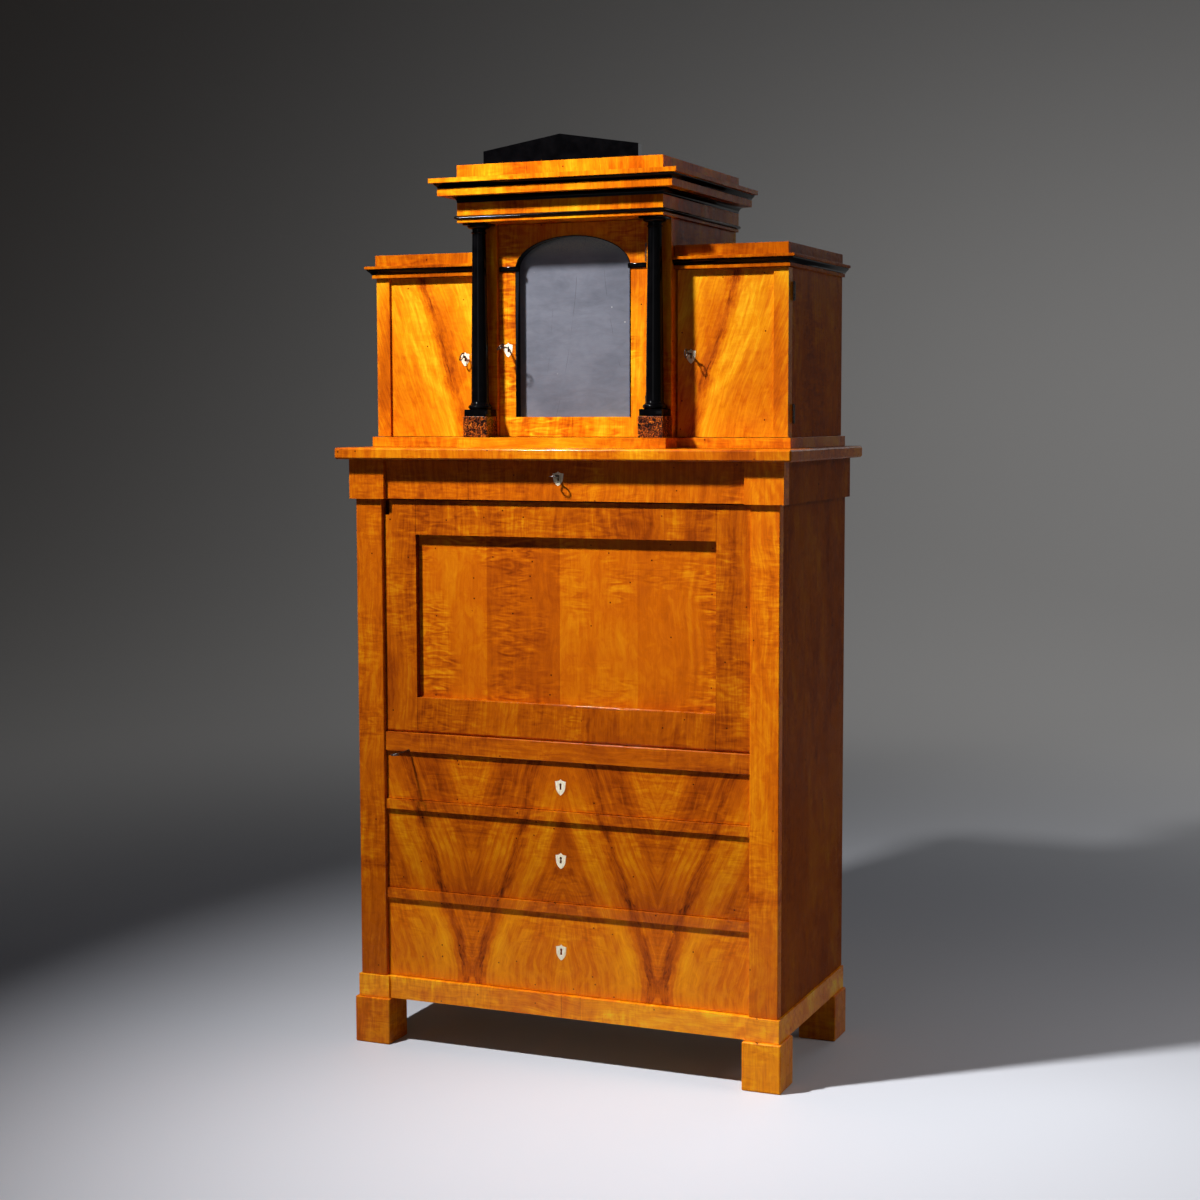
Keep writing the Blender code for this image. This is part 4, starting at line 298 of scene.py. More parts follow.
def veneer(name, seed, tone=1.0, grain=UPRIGHT, lift=0.0, broad=0.75, flakes=0.42, curl=0.40,
           rings=0.18, fibre=0.34, streak=None, dark=0.5, strips=(), strip_tones=(), seams=(),
           bands=(), pins=0.8, gloss=0.26, polish=0.12, shine=0.06):
    """Polished veneer: broad clouds, curl across the grain, growth lines, fibres and knots. The
    tone and the lift make a whole piece darker or lighter, partly for the wood's own tone and
    partly as painted light and shade.
    """
    surface, shader = fresh_surface(name)
    upright = grain == UPRIGHT
    spot = (seed * 3.1, seed * 1.7, seed * 2.3)
    wander = clouds(surface, place(surface, spot), 4.0, 2.0)
    drift = shade_of(surface, "MULTIPLY", shade_of(surface, "SUBTRACT", wander, 0.5), 0.05)
    ragged = clouds(surface, place(surface, spot), 38.0, 4.0, 0.65)
    if streak:
        across, own = flame(surface, *streak)
        side = shade_of(surface, "ADD", across, drift)
        width, length = side, own["Z"]
    else:
        own = node(surface, "SeparateXYZ", Vector=place(surface, spot)).outputs
        width = shade_of(surface, "ADD", own["X"] if upright else own["Z"], drift)
        length = own["Z"] if upright else own["X"]

    def laid(over, way):
        """Coordinates that are stretched by one factor across the grain and by another along it."""
        return along(surface, shade_of(surface, "MULTIPLY", width, over),
                     shade_of(surface, "MULTIPLY", own["Y"], over),
                     shade_of(surface, "MULTIPLY", length, way))

    # The lift moves the colours along the ramp: partly the wood's own tone, partly painted light.
    middle = MIDDLE_SHADE + lift
    value = stretched(surface, 0.0, 1.0, clouds(surface, laid(9.0, 3.2), 1.0, 3.0, 0.5, 0.6),
                      middle - broad / 2, middle + broad / 2)
    value = blended(surface, value, clouds(surface, laid(46.0, 24.0), 1.0, 5.0, 0.68, 1.1), flakes)
    curly = within(surface, clouds(surface, laid(7.0, 5.0), 1.0, 2.0), 0.42, 0.16)
    ripple = blended(surface, 0.0, clouds(surface, laid(20.0, 96.0), 1.0, 1.0, 0.4, 1.4), curl)
    value = shade_of(surface, "MULTIPLY_ADD", ripple, curly, value)
    years = clouds(surface, laid(5.0, 1.7), 1.0, 1.0, 0.4, 0.3)
    growth = shade_of(surface, "PINGPONG", shade_of(surface, "MULTIPLY", years, 17.0), 0.5)
    ringed = within(surface, clouds(surface, laid(3.0, 2.0), 1.0, 1.0), 0.40, 0.20)
    value = shade_of(surface, "MULTIPLY_ADD", shade_of(surface, "SUBTRACT", growth, 0.25),
                     shade_of(surface, "MULTIPLY", ringed, rings), value)
    hairs = clouds(surface, laid(850.0, 26.0), 1.0, 2.0, 0.6)
    value = blended(surface, value, clouds(surface, laid(190.0, 9.0), 1.0, 3.0, 0.6), fibre)
    value = blended(surface, value, hairs, fibre * 0.6)
    if streak:
        torn = shade_of(surface, "SUBTRACT", side, 0.015)
        torn = shade_of(surface, "ABSOLUTE",
                        shade_of(surface, "MULTIPLY_ADD", ragged, 0.030, torn))
        haze = within(surface, torn, 0.001, 0.024)
        threads = clouds(surface, laid(230.0, 38.0), 1.0, 4.0, 0.7, 0.9)
        strand = stretched(surface, 0.45, 0.60, threads)
        core = within(surface, torn, 0.003, 0.011)
        patchy = stretched(surface, 0.34, 0.62, clouds(surface, laid(16.0, 13.0), 1.0, 3.0))
        value = shade_of(surface, "MULTIPLY_ADD", haze, -0.62 * dark, value)
        braid = shade_of(surface, "MULTIPLY", shade_of(surface, "MULTIPLY", strand, core), patchy)
        value = shade_of(surface, "MULTIPLY_ADD", braid, -dark, value)
    here = node(surface, "SeparateXYZ", Vector=node(surface, "TexCoord").outputs["Object"]).outputs
    if strips:
        low, high = strips[0], strips[-1]
        steps = [((edge - low) / (high - low), (tint,) * 3)
                 for edge, tint in zip(strips, strip_tones)]
        picked = dye(surface, stretched(surface, low, high, here["X"]), steps)
        picked.node.color_ramp.interpolation = "CONSTANT"
        value = blended(surface, value, picked, 1.0)
    for axis, line in seams:
        off = shade_of(surface, "ABSOLUTE", shade_of(surface, "SUBTRACT", here[axis], line))
        joint = within(surface, off, 0.0002, 0.0007)
        value = shade_of(surface, "MULTIPLY_ADD", joint, -0.25, value)
    for height, half, depth in bands:
        off = shade_of(surface, "ABSOLUTE", shade_of(surface, "SUBTRACT", here["Z"], height))
        frayed = clouds(surface, laid(60.0, 90.0), 1.0)
        frayed = shade_of(surface, "MULTIPLY_ADD", frayed, 0.02, off)
        figure = within(surface, frayed, half, 0.014)
        value = shade_of(surface, "MULTIPLY_ADD", figure, -depth, value)
    moved = node(surface, "SeparateXYZ", Vector=place(surface, spot)).outputs
    round_corner = shade_of(surface, "MULTIPLY_ADD", moved["Y"], 0.73, moved["X"])
    cells = node(surface, "TexVoronoi", voronoi_dimensions="2D", Scale=22.0,
                 Vector=along(surface, round_corner, moved["Z"], 0.0))
    chosen = stretched(surface, 0.84, 0.86, node(surface, "SeparateColor",
                                                 Color=cells.outputs["Color"]).outputs[0])
    knot = shade_of(surface, "MULTIPLY_ADD", ragged, 0.03, cells.outputs["Distance"])
    knot = shade_of(surface, "MULTIPLY", within(surface, knot, 0.030, 0.030), chosen)
    value = shade_of(surface, "MULTIPLY_ADD", knot, -pins, value)
    # The tone darkens or lightens the whole piece: partly the wood's own tone, partly painted light
    # and shade.
    wood = tinted(surface, 1.0, dye(surface, value, HONEY), (tone, tone, tone, 1), "MULTIPLY")
    feed(shader.inputs["Base Color"], wood, surface)
    worn = clouds(surface, place(surface, spot), 34.0, 4.0, 0.6)
    rubbed = stretched(surface, 0.3, 0.7, worn, gloss - 0.06, gloss + 0.12)
    feed(shader.inputs["Roughness"], rubbed, surface)
    shader.inputs["Specular IOR Level"].default_value = shine
    shader.inputs["Coat Weight"].default_value = polish
    shader.inputs["Coat Roughness"].default_value = 0.10
    dents = clouds(surface, place(surface, spot), 11.0, 2.0)
    height = shade_of(surface, "MULTIPLY", dents, 1.4)
    height = shade_of(surface, "MULTIPLY_ADD", hairs, 0.16, height)
    bump = node(surface, "Bump", Height=height, Strength=0.25, Distance=0.0012)
    feed(shader.inputs["Normal"], bump.outputs[0], surface)
    return surface


def finish_board(name, surface, arris=ARRIS):
    """Keeps a packed board, merges its corners, eases its arrises and gives it its finish."""
    piece = board[name]
    for slot in piece.material_slots:
        slot.material = surface
    weld = piece.modifiers.new("merged_corners", "WELD")
    weld.merge_threshold = CORNER_GAP
    if arris:
        rounding = piece.modifiers.new("eased_arris", "BEVEL")
        rounding.width = arris
        rounding.segments = 4
        rounding.limit_method = "ANGLE"
        rounding.angle_limit = math.radians(35)
    return piece


# The front right foot gets a higher tone and lift than the others: painted light.
FEET = (("foot_front_left", 1.05, 0.08), ("foot_front_right", 1.2, 0.17),
        ("foot_rear_left", 0.9, 0.08), ("foot_rear_right", 1.0, 0.08))
for number, (name, tone, lift) in enumerate(FEET):
    finish_board(name, veneer(name + "_veneer", 0.4 + number, tone, lift=lift, broad=0.5))


# The base frame
# Four softwood rails on top of the feet, with a block at each front corner that breaks forward.
# They are covered with level-grained veneer in three lengths, and the case stands on them.
# The frame's high tone and lift are partly its own tone and partly painted light on the base.
finish_board("base_frame", veneer("base_veneer", 5.2, 1.2, LEVEL, 0.23, pins=0.6, polish=0.30,
                                  seams=(("X", 0.0), ("X", 0.044))))


# The sides and the back of the lower case
# Each side is one veneered panel with upright grain, glued behind its pilaster. The back is a plain
# softwood frame with a sunk field, nailed into the rebates, and the bottom board is the same wood.
PINE = ((0.2, (0.28, 0.120, 0.034)), (0.5, (0.56, 0.310, 0.105)), (0.8, (0.72, 0.46, 0.19)))


def softwood(name, grain=UPRIGHT, seed=0.0):
    """Planed, unpolished softwood with growth lines and a little dust."""
    surface, shader = fresh_surface(name)
    along_z = grain == UPRIGHT
    spot = (seed, seed * 0.7, seed * 1.3)
    lines_at = place(surface, spot, (1, 1, 0.05) if along_z else (0.05, 1, 1))
    lines = clouds(surface, lines_at, 150.0, 4.0, 0.6, 0.4)
    grey = clouds(surface, place(surface, spot), 7.0, 3.0)
    value = shade_of(surface, "MULTIPLY_ADD", shade_of(surface, "SUBTRACT", grey, 0.5), 0.5, lines)
    feed(shader.inputs["Base Color"], dye(surface, value, PINE), surface)
    feed(shader.inputs["Roughness"], stretched(surface, 0.3, 0.7, grey, 0.62, 0.8), surface)
    bump = node(surface, "Bump", Height=lines, Strength=0.3, Distance=0.0006)
    feed(shader.inputs["Normal"], bump.outputs[0], surface)
    return surface


# The low tone of the side panels is painted shade.
for number, name in enumerate(("side_panel_left", "side_panel_right")):
    finish_board(name, veneer(name + "_veneer", 7.3 + number, 0.54, curl=0.12, broad=0.5,
                              polish=0.015, shine=0.01))
finish_board("back_lower", softwood("back_pine", UPRIGHT, 1.0))
finish_board("bottom_board", softwood("bottom_pine", LEVEL, 2.0), 0)
IRON_DARK = (0.022, 0.021, 0.020)
IRON_WORN = (0.17, 0.165, 0.16)
NAIL_RADIUS = 0.0030
NAIL_RISE = 0.0009
NAIL_INSET = 0.016
NAIL_COUNT = 9
TO_REAR = Matrix.Rotation(math.radians(-90), 4, "X")


def add_part(mesh, part, matrix):
    """Moves a part into place and adds it to the mesh of its piece."""
    bmesh.ops.remove_doubles(part, verts=part.verts, dist=0.000002)
    bmesh.ops.recalc_face_normals(part, faces=part.faces)
    part.transform(matrix)
    loose = bpy.data.meshes.new("loose")
    part.to_mesh(loose)
    part.free()
    mesh.from_mesh(loose)
    bpy.data.meshes.remove(loose)


def add_turning(mesh, profile, matrix, steps=40):
    """Spins a profile of (radius, height) pairs round its own upright axis."""
    part = bmesh.new()
    rim = [part.verts.new((radius, 0, height)) for radius, height in profile]
    edges = [part.edges.new(pair) for pair in zip(rim, rim[1:])]
    bmesh.ops.spin(part, geom=rim + edges, cent=(0, 0, 0), axis=(0, 0, 1), angle=math.tau,
                   steps=steps, use_merge=True)
    add_part(mesh, part, matrix)


def add_slab(mesh, low, high, arris, matrix=Matrix()):
    """A squared block with eased arrises."""
    part = bmesh.new()
    bmesh.ops.create_cube(part, size=1.0)
    size = [b - a for a, b in zip(low, high)]
    bmesh.ops.scale(part, vec=size, verts=part.verts)
    bmesh.ops.translate(part, vec=[(a + b) / 2 for a, b in zip(low, high)], verts=part.verts)
    bmesh.ops.bevel(part, geom=part.edges[:], offset=arris, segments=2, profile=0.5,
                    affect="EDGES", material=-1)
    add_part(mesh, part, matrix)


def set_in(name, mesh, surface, body, stands_for=(), crease=40):
    """Hangs a finished piece on its body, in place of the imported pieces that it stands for."""
    data = bpy.data.meshes.new(name)
    mesh.to_mesh(data)
    mesh.free()
    data.shade_smooth()
    data.set_sharp_from_angle(angle=math.radians(crease))
    data.materials.append(surface)
    piece = bpy.data.objects.new(name, data)
    bpy.context.scene.collection.objects.link(piece)
    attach(piece, body)
    if stands_for:
        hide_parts(*stands_for)
    return piece


iron, iron_shader = fresh_surface("iron")
iron_marks = clouds(iron, place(iron), 520.0, 4.0, 0.6)
iron_tint = dye(iron, iron_marks, ((0.35, IRON_DARK), (0.7, IRON_WORN)))
feed(iron_shader.inputs["Base Color"], iron_tint, iron)
feed(iron_shader.inputs["Roughness"], stretched(iron, 0.3, 0.7, iron_marks, 0.5, 0.25), iron)
iron_shader.inputs["Metallic"].default_value = 1.0
DOME = ((0, 1), (0.42, 0.9), (0.75, 0.62), (0.95, 0.28), (1, 0), (0, 0))
back_low, back_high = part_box("back_lower")
nail_run = back_high[2] - back_low[2] - 2 * NAIL_INSET
nails = bmesh.new()
for side in (-1, 1):
    for step in range(NAIL_COUNT):
        rise = back_low[2] + NAIL_INSET + nail_run * step / (NAIL_COUNT - 1)
        spot = (side * (back_high[0] - NAIL_INSET), back_high[1], rise)
        add_turning(nails, [(NAIL_RADIUS * u, NAIL_RISE * v) for u, v in DOME],
                    Matrix.Translation(spot) @ TO_REAR, 14)
set_in("back_nails", nails, iron, "case")


# The pilasters
# Two flat pilasters with a block glued on at frieze height, upright grain, with short dark bands of
# figure across them.
# The left pilaster has a lower tone and the right one a higher tone and lift: painted light and
# shade.
finish_board("pilaster_left", veneer("pilaster_left_veneer", 11.1, 0.82, broad=0.35, pins=0.6,
                                     bands=((0.402, 0.008, 0.14), (0.292, 0.001, 0.12))))
finish_board("pilaster_right", veneer("pilaster_right_veneer", 12.7, 1.0, lift=0.08, broad=0.35,
                                      pins=0.6, bands=((0.403, 0.014, 0.14),)))


# The rails and the long drawers
# Two thin rails and the sill rail part three drawers. Their fronts are cut from one flitch, folded
# open twice, so that its dark feathery figure makes a wide W across all of them. The boxes behind
# are softwood, joined to the fronts by half-blind dovetails.
FLITCH = (0.217, 0.165, 0.335, 0.017)
LEAF_SEED = 15.0
# The drawers' and rails' tones and lifts are partly the wood's own tone and partly painted light:
# the lower drawer is painted lighter and the middle one darker, as the light falls on them.
DRAWERS = (("lower", 1.08, 0.10, 0.28), ("middle", 0.80, 0.0, 0.31), ("upper", 0.84, 0.0, 0.13))
for number, (name, tone, lift, dark) in enumerate(DRAWERS):
    leaf = veneer(f"drawer_{name}_veneer", LEAF_SEED, tone, lift=lift, streak=FLITCH, dark=dark)
    finish_board(f"drawer_{name}_front", leaf)
    finish_board(f"drawer_{name}_box", softwood(f"drawer_{name}_pine", LEVEL, 20.0 + number), 0)
for name, tone in (("drawer_rail_lower", 0.95), ("drawer_rail_upper", 0.85)):
    finish_board(name, veneer(name + "_veneer", LEAF_SEED, tone, streak=FLITCH, dark=0.20,
                              polish=0.30))
finish_board("sill_rail", veneer("sill_veneer", 19.5, 0.80, LEVEL, polish=0.30))


# The keyhole shields
# Seven small shields sawn from bone, each with its keyhole filed through. They are glued into beds
# that are cut in the veneer, and polished with it.
BONE_DARK = (0.74, 0.60, 0.38)
BONE_PALE = (0.95, 0.89, 0.72)
SHIELD_ARRIS = 0.0003
bone, bone_shader = fresh_surface("bone")
bone_streaks = clouds(bone, place(bone, (0, 0, 0), (1, 1, 0.3)), 420.0, 3.0)
bone_tint = dye(bone, bone_streaks, ((0.25, BONE_DARK), (0.6, BONE_PALE)))
feed(bone_shader.inputs["Base Color"], bone_tint, bone)
feed(bone_shader.inputs["Roughness"], stretched(bone, 0.3, 0.7, bone_streaks, 0.32, 0.45), bone)
for place_name in ("lower", "middle", "upper", "frieze", "cupboard_left", "cupboard_right",
                   "mirror_door"):
    finish_board("shield_" + place_name, bone, SHIELD_ARRIS)


# The keys and the locks
# Four filed iron keys with an oval bow, a turned collar and a plain bit. On the back of the three
# small doors the iron plate of the lock is held by four screws.
FRONT_SHIFT = -0.20965
BOW_RADIUS = 0.0070
BOW_WIRE = 0.0015
BOW_LENGTHEN = 1.2
SHANK_RADIUS = 0.0019
COLLAR_RADIUS = 0.0031
COLLAR_LENGTH = 0.0028
BORE_DEPTH = 0.013
BIT_CLEAR = 0.0012
BIT_LENGTH = 0.0065
BIT_WIDTH = 0.0055
BIT_THICKNESS = 0.0018
PLATE_HALF_WIDTH = 0.0105
PLATE_HALF_HEIGHT = 0.015
PLATE_THICKNESS = 0.0011
SCREW_RADIUS = 0.0016
SCREW_RISE = 0.0005
SCREW_INSET = 0.003
FILED_EDGE = 0.0002
TO_FRONT = Matrix.Rotation(math.radians(90), 4, "X")


def cut_key(name, carrier, eye, reach, turn):
    """A key in its lock; the eye is the middle of its keyhole, the turn is how its bow stands."""
    matrix = Matrix.Translation(eye) @ Matrix.Rotation(math.radians(turn), 4, "Y")
    mesh = bmesh.new()
    bow_at = reach - BOW_RADIUS
    bow = bmesh.new()
    wire = bmesh.ops.create_circle(bow, segments=12, radius=BOW_WIRE)
    bmesh.ops.scale(bow, vec=(0.8, 1, 1), verts=bow.verts)
    bmesh.ops.translate(bow, vec=(0, BOW_RADIUS, 0), verts=wire["verts"])
    bmesh.ops.spin(bow, geom=bow.verts[:] + bow.edges[:], cent=(0, 0, 0), axis=(1, 0, 0),
                   angle=math.tau, steps=40, use_merge=True)
    bmesh.ops.scale(bow, vec=(1, 1, BOW_LENGTHEN), verts=bow.verts)
    add_part(mesh, bow, matrix @ Matrix.Translation((0, -bow_at, 0)))
    tip = -(BORE_DEPTH + BIT_CLEAR + BIT_WIDTH)
    neck = bow_at - BOW_RADIUS + BOW_WIRE / 2
    collar = bow_at - BOW_RADIUS - COLLAR_LENGTH
    collar_foot = collar - COLLAR_LENGTH
    profile = [(0, tip), (SHANK_RADIUS * 0.7, tip), (SHANK_RADIUS, tip + 0.0006),
               (SHANK_RADIUS, collar_foot - 0.0008), (SHANK_RADIUS * 1.25, collar_foot - 0.0004),
               (SHANK_RADIUS * 1.05, collar_foot)]
    for step in range(7):
        angle = math.pi * step / 6
        swell = COLLAR_RADIUS - SHANK_RADIUS * 1.1
        profile.append((SHANK_RADIUS * 1.1 + swell * math.sin(angle),
                        collar - COLLAR_LENGTH / 2 - COLLAR_LENGTH / 2 * math.cos(angle)))
    profile += [(SHANK_RADIUS, collar + 0.0004), (SHANK_RADIUS * 0.9, neck), (0, neck)]
    add_turning(mesh, profile, matrix @ TO_FRONT, 28)
    add_slab(mesh, (-BIT_THICKNESS / 2, -tip - BIT_WIDTH, -BIT_LENGTH),
             (BIT_THICKNESS / 2, -tip - 0.0004, 0), FILED_EDGE, matrix)
    set_in(name + "_cut", mesh, iron, carrier, (name,), 50)


def lock_plate(name, carrier, spot):
    """The plate on the back of a door, over the mortise of its lock; the spot is its middle."""
    mesh = bmesh.new()
    x, y, z = spot
    add_slab(mesh, (x - PLATE_HALF_WIDTH, y + 0.0001, z - PLATE_HALF_HEIGHT),
             (x + PLATE_HALF_WIDTH, y + PLATE_THICKNESS, z + PLATE_HALF_HEIGHT), FILED_EDGE)
    for side in (-1, 1):
        for end in (-1, 1):
            at = (x + side * (PLATE_HALF_WIDTH - SCREW_INSET), y + PLATE_THICKNESS - 0.0001,
                  z + end * (PLATE_HALF_HEIGHT - SCREW_INSET))
            add_turning(mesh, [(SCREW_RADIUS * u, SCREW_RISE * v) for u, v in DOME],
                        Matrix.Translation(at) @ TO_REAR, 12)
    set_in(name, mesh, iron, carrier)


FRIEZE_EYE = (-0.0028, 0.002 + FRONT_SHIFT, 1.26249)
MIRROR_EYE = (-0.1500, 0.074 + FRONT_SHIFT, 1.53409)
RIGHT_EYE = (0.2607, 0.090 + FRONT_SHIFT, 1.51619)
LEFT_EYE = (-0.2607, 0.090 + FRONT_SHIFT, 1.51619)
cut_key("key_frieze", "frieze_key", FRIEZE_EYE, 0.030, 90)
cut_key("key_mirror_door", "mirror_key", MIRROR_EYE, 0.046, 50)
cut_key("key_cupboard_right", "cupboard_right_key", RIGHT_EYE, 0.037, 0)
cut_key("key_cupboard_left", "cupboard_left_key", LEFT_EYE, 0.0235, 25)
lock_plate("lock_plate_mirror", "mirror_door", (MIRROR_EYE[0], 0.102 + FRONT_SHIFT, MIRROR_EYE[2]))
for side_name, eye in (("left", LEFT_EYE), ("right", RIGHT_EYE)):
    lock_plate("lock_plate_" + side_name, f"cupboard_{side_name}_door",
               (eye[0], 0.110 + FRONT_SHIFT, eye[2]))


# The frieze drawer
# A shallow drawer right under the top board, glued up as one with its front, which is covered with
# three leaves of upright-grained veneer. It slides on two runners over the desk.
finish_board("frieze_drawer_front", veneer("frieze_veneer", 25.0, 0.86, broad=0.4,
                                           seams=(("X", -0.213), ("X", 0.215))))


# The fall front
# A flap that opens down to make a writing surface: stiles and rails mortised together round a sunk
# panel of four veneer strips. It turns at its foot and hangs on two quadrants sawn from brass.
finish_board("flap_frame", veneer("flap_frame_veneer", 30.0, 0.72, lift=-0.02, curl=0.5,
                                  seams=(("X", -0.345), ("X", 0.345))))
finish_board("flap_panel", veneer("flap_panel_veneer", 31.0, 0.84, curl=0.7, broad=0.25,
                                  flakes=0.30, fibre=0.16,
                                  strips=(-0.36, -0.1853, -0.0136, 0.1655, 0.36),
                                  strip_tones=(0.55, 0.43, 0.57, 0.50)), 0)
BRASS_DARK = (0.30, 0.18, 0.06)
BRASS_BRIGHT = (0.66, 0.46, 0.18)
STAY_ARRIS = 0.0003
brass, brass_shader = fresh_surface("brass")
brass_marks = clouds(brass, place(brass), 160.0, 4.0, 0.6)
brass_tint = dye(brass, brass_marks, ((0.3, BRASS_DARK), (0.62, BRASS_BRIGHT)))
feed(brass_shader.inputs["Base Color"], brass_tint, brass)
feed(brass_shader.inputs["Roughness"], stretched(brass, 0.3, 0.7, brass_marks, 0.42, 0.24), brass)
brass_shader.inputs["Metallic"].default_value = 1.0
for name in ("stay_left", "stay_right"):
    finish_board(name, brass, STAY_ARRIS)


# The iron pull
# A thin forged rod with a flat ring at its front end and an upset head at the other, pushed through
# a bore at the left of the sill rail.
PULL_AXIS = (-0.36446, 0.6603)
PULL_TIP = -0.068 + FRONT_SHIFT
PULL_RING = 0.0085
PULL_RING_HALF_WIDTH = 0.00175
PULL_RING_HALF_HEIGHT = 0.0014
PULL_RADIUS = 0.0019
HEAD_RADIUS = 0.004
PULL_END = 0.0865 + FRONT_SHIFT
pull = bmesh.new()
ring_at = PULL_TIP + PULL_RING + PULL_RING_HALF_WIDTH
ring_cut = []
for step in range(17):
    angle = math.tau * step / 16
    out, up = (math.copysign(abs(part) ** 0.6, part) for part in (math.cos(angle), math.sin(angle)))
    ring_cut.append((PULL_RING + PULL_RING_HALF_WIDTH * out, PULL_RING_HALF_HEIGHT * up))
add_turning(pull, ring_cut, Matrix.Translation((PULL_AXIS[0], ring_at, PULL_AXIS[1])), 56)
rod_front = ring_at + PULL_RING - 0.0002
rod = PULL_END - rod_front
rod_cut = [(0, 0), (PULL_RADIUS * 0.8, 0), (PULL_RADIUS, 0.0012), (PULL_RADIUS, rod - 0.0042),
           (HEAD_RADIUS - 0.0004, rod - 0.004), (HEAD_RADIUS, rod - 0.0036),
           (HEAD_RADIUS, rod - 0.0004), (HEAD_RADIUS - 0.0004, rod), (0, rod)]
add_turning(pull, rod_cut,
            Matrix.Translation((PULL_AXIS[0], rod_front, PULL_AXIS[1])) @ TO_REAR, 24)
set_in("iron_pull_forged", pull, iron, "iron_pull", ("iron_pull_rod",), 50)


# The desk interior
# Six pigeonholes beside an arched niche with a small drawer under it, made of thin veneered boards
# and slid in as one behind the fall front. A ceiling board lies over them.
finish_board("desk_interior", veneer("desk_veneer", 35.0, 0.95), 0)
finish_board("desk_drawer_box", veneer("desk_drawer_veneer", 36.0, 1.0, LEVEL))
finish_board("desk_ceiling", veneer("desk_ceiling_veneer", 37.0, 0.9, LEVEL), 0)


# The top board and the stepped plinth
# The top board overhangs the case on three sides and is edged with cross-grained veneer. The plinth
# board glued on it breaks forward in the middle and carries the upper part.
# The top board's low tone is painted shade, set against the stronger light near the lamp.
finish_board("top_board", veneer("top_veneer", 40.0, 0.80, lift=0.06))
finish_board("stepped_plinth", veneer("step_veneer", 41.0, 0.87, LEVEL, 0.12))


# The side cupboards
# Two small cupboards with a plain cornice over an ebonised ogee. The veneer of their doors is one
# pair of leaves, folded open to the left and right, and each door turns on two barrel hinges.
DOOR_FLITCH = (0.0, 0.484, 0.30, 0.0)
EBONY = ((0.35, (0.0008, 0.0008, 0.0011)), (0.7, (0.0021, 0.0020, 0.0026)))


def ebonised(name, seed):
    """Black-stained and polished wood with rubbed places."""
    surface, shader = fresh_surface(name)
    marks = clouds(surface, place(surface, (seed, seed, seed)), 48.0, 4.0, 0.6)
    feed(shader.inputs["Base Color"], dye(surface, marks, EBONY), surface)
    feed(shader.inputs["Roughness"], stretched(surface, 0.3, 0.7, marks, 0.08, 0.13), surface)
    shader.inputs["Specular IOR Level"].default_value = 0.08
    return surface


def run_moulding(node_name, carrier, crease=42):
    """A packed moulding with its corners merged and its curves smoothed."""
    mesh = bmesh.new()
    mesh.from_mesh(board[node_name].data)
    bmesh.ops.remove_doubles(mesh, verts=mesh.verts, dist=CORNER_GAP)
    set_in(node_name + "_run", mesh, black, carrier, (node_name,), crease)


HINGE_X = 0.4769
HINGE_Y = 0.1103 + FRONT_SHIFT
HINGE_LOWS = (1.3731, 1.6225)
HINGE_LENGTH = 0.037
HINGE_RADIUS = 0.00325
KNUCKLE_COUNT = 5


def barrel_cut(length, radius, knuckles):
    """Profile of a hinge barrel: knuckles with fine grooves between them and a ball at each end."""
    cut = [(0, -0.0022), (radius * 0.5, -0.0018), (radius * 0.7, -0.0009), (radius * 0.45, 0)]
    for number in range(knuckles):
        low = length * number / knuckles
        high = length * (number + 1) / knuckles
        cut += [(radius - 0.0005, low), (radius, low + 0.0003), (radius, high - 0.0003),
                (radius - 0.0005, high)]
    cut += [(radius * 0.45, length), (radius * 0.7, length + 0.0009),
            (radius * 0.5, length + 0.0018), (0, length + 0.0022)]
    return cut


black = ebonised("ebonised", 0.0)
for number, side in enumerate(("left", "right")):
    # The cases' low tone is painted shade on the cupboards' sides. The doors' lift is partly their
    # own tone and partly painted light, and the right door's lower tone is painted shade.
    finish_board(f"cupboard_{side}_case", veneer(f"cupboard_{side}_veneer", 45.0 + number, 0.72,
                                                 polish=0.02, shine=0.01))
    finish_board(f"cupboard_{side}_door_leaf",
                 veneer(f"cupboard_{side}_door_veneer", 47.0, 0.94 - 0.10 * number, lift=0.20,
                        broad=0.95, curl=0.12, streak=DOOR_FLITCH, dark=0.30,
                        strips=(-0.48, -0.4421, 0.4421, 0.48), strip_tones=(0.36, 0.50, 0.40)))
    run_moulding(f"cupboard_{side}_ogee", "case")
    barrels = bmesh.new()
    for low in HINGE_LOWS:
        add_turning(barrels, barrel_cut(HINGE_LENGTH, HINGE_RADIUS, KNUCKLE_COUNT),
                    Matrix.Translation(((2 * number - 1) * HINGE_X, HINGE_Y, low)), 20)
    set_in(f"cupboard_{side}_hinges", barrels, iron, f"cupboard_{side}_door")


# The tabernacle
# The middle of the upper part: a veneered case with its entablature, three ebonised mouldings glued
# round it on the front and both sides, and an ebonised pediment board that stands on top.
# The case's tone and lift are partly the veneer's own colour and partly painted light and shade.
finish_board("tabernacle_case", veneer("tabernacle_veneer", 50.0, 0.88, lift=0.12, broad=0.9,
                                       polish=0.02, shine=0.01))
for name in ("entablature_bead", "entablature_cove", "entablature_cyma"):
    run_moulding(name, "case")
finish_board("pediment", black)


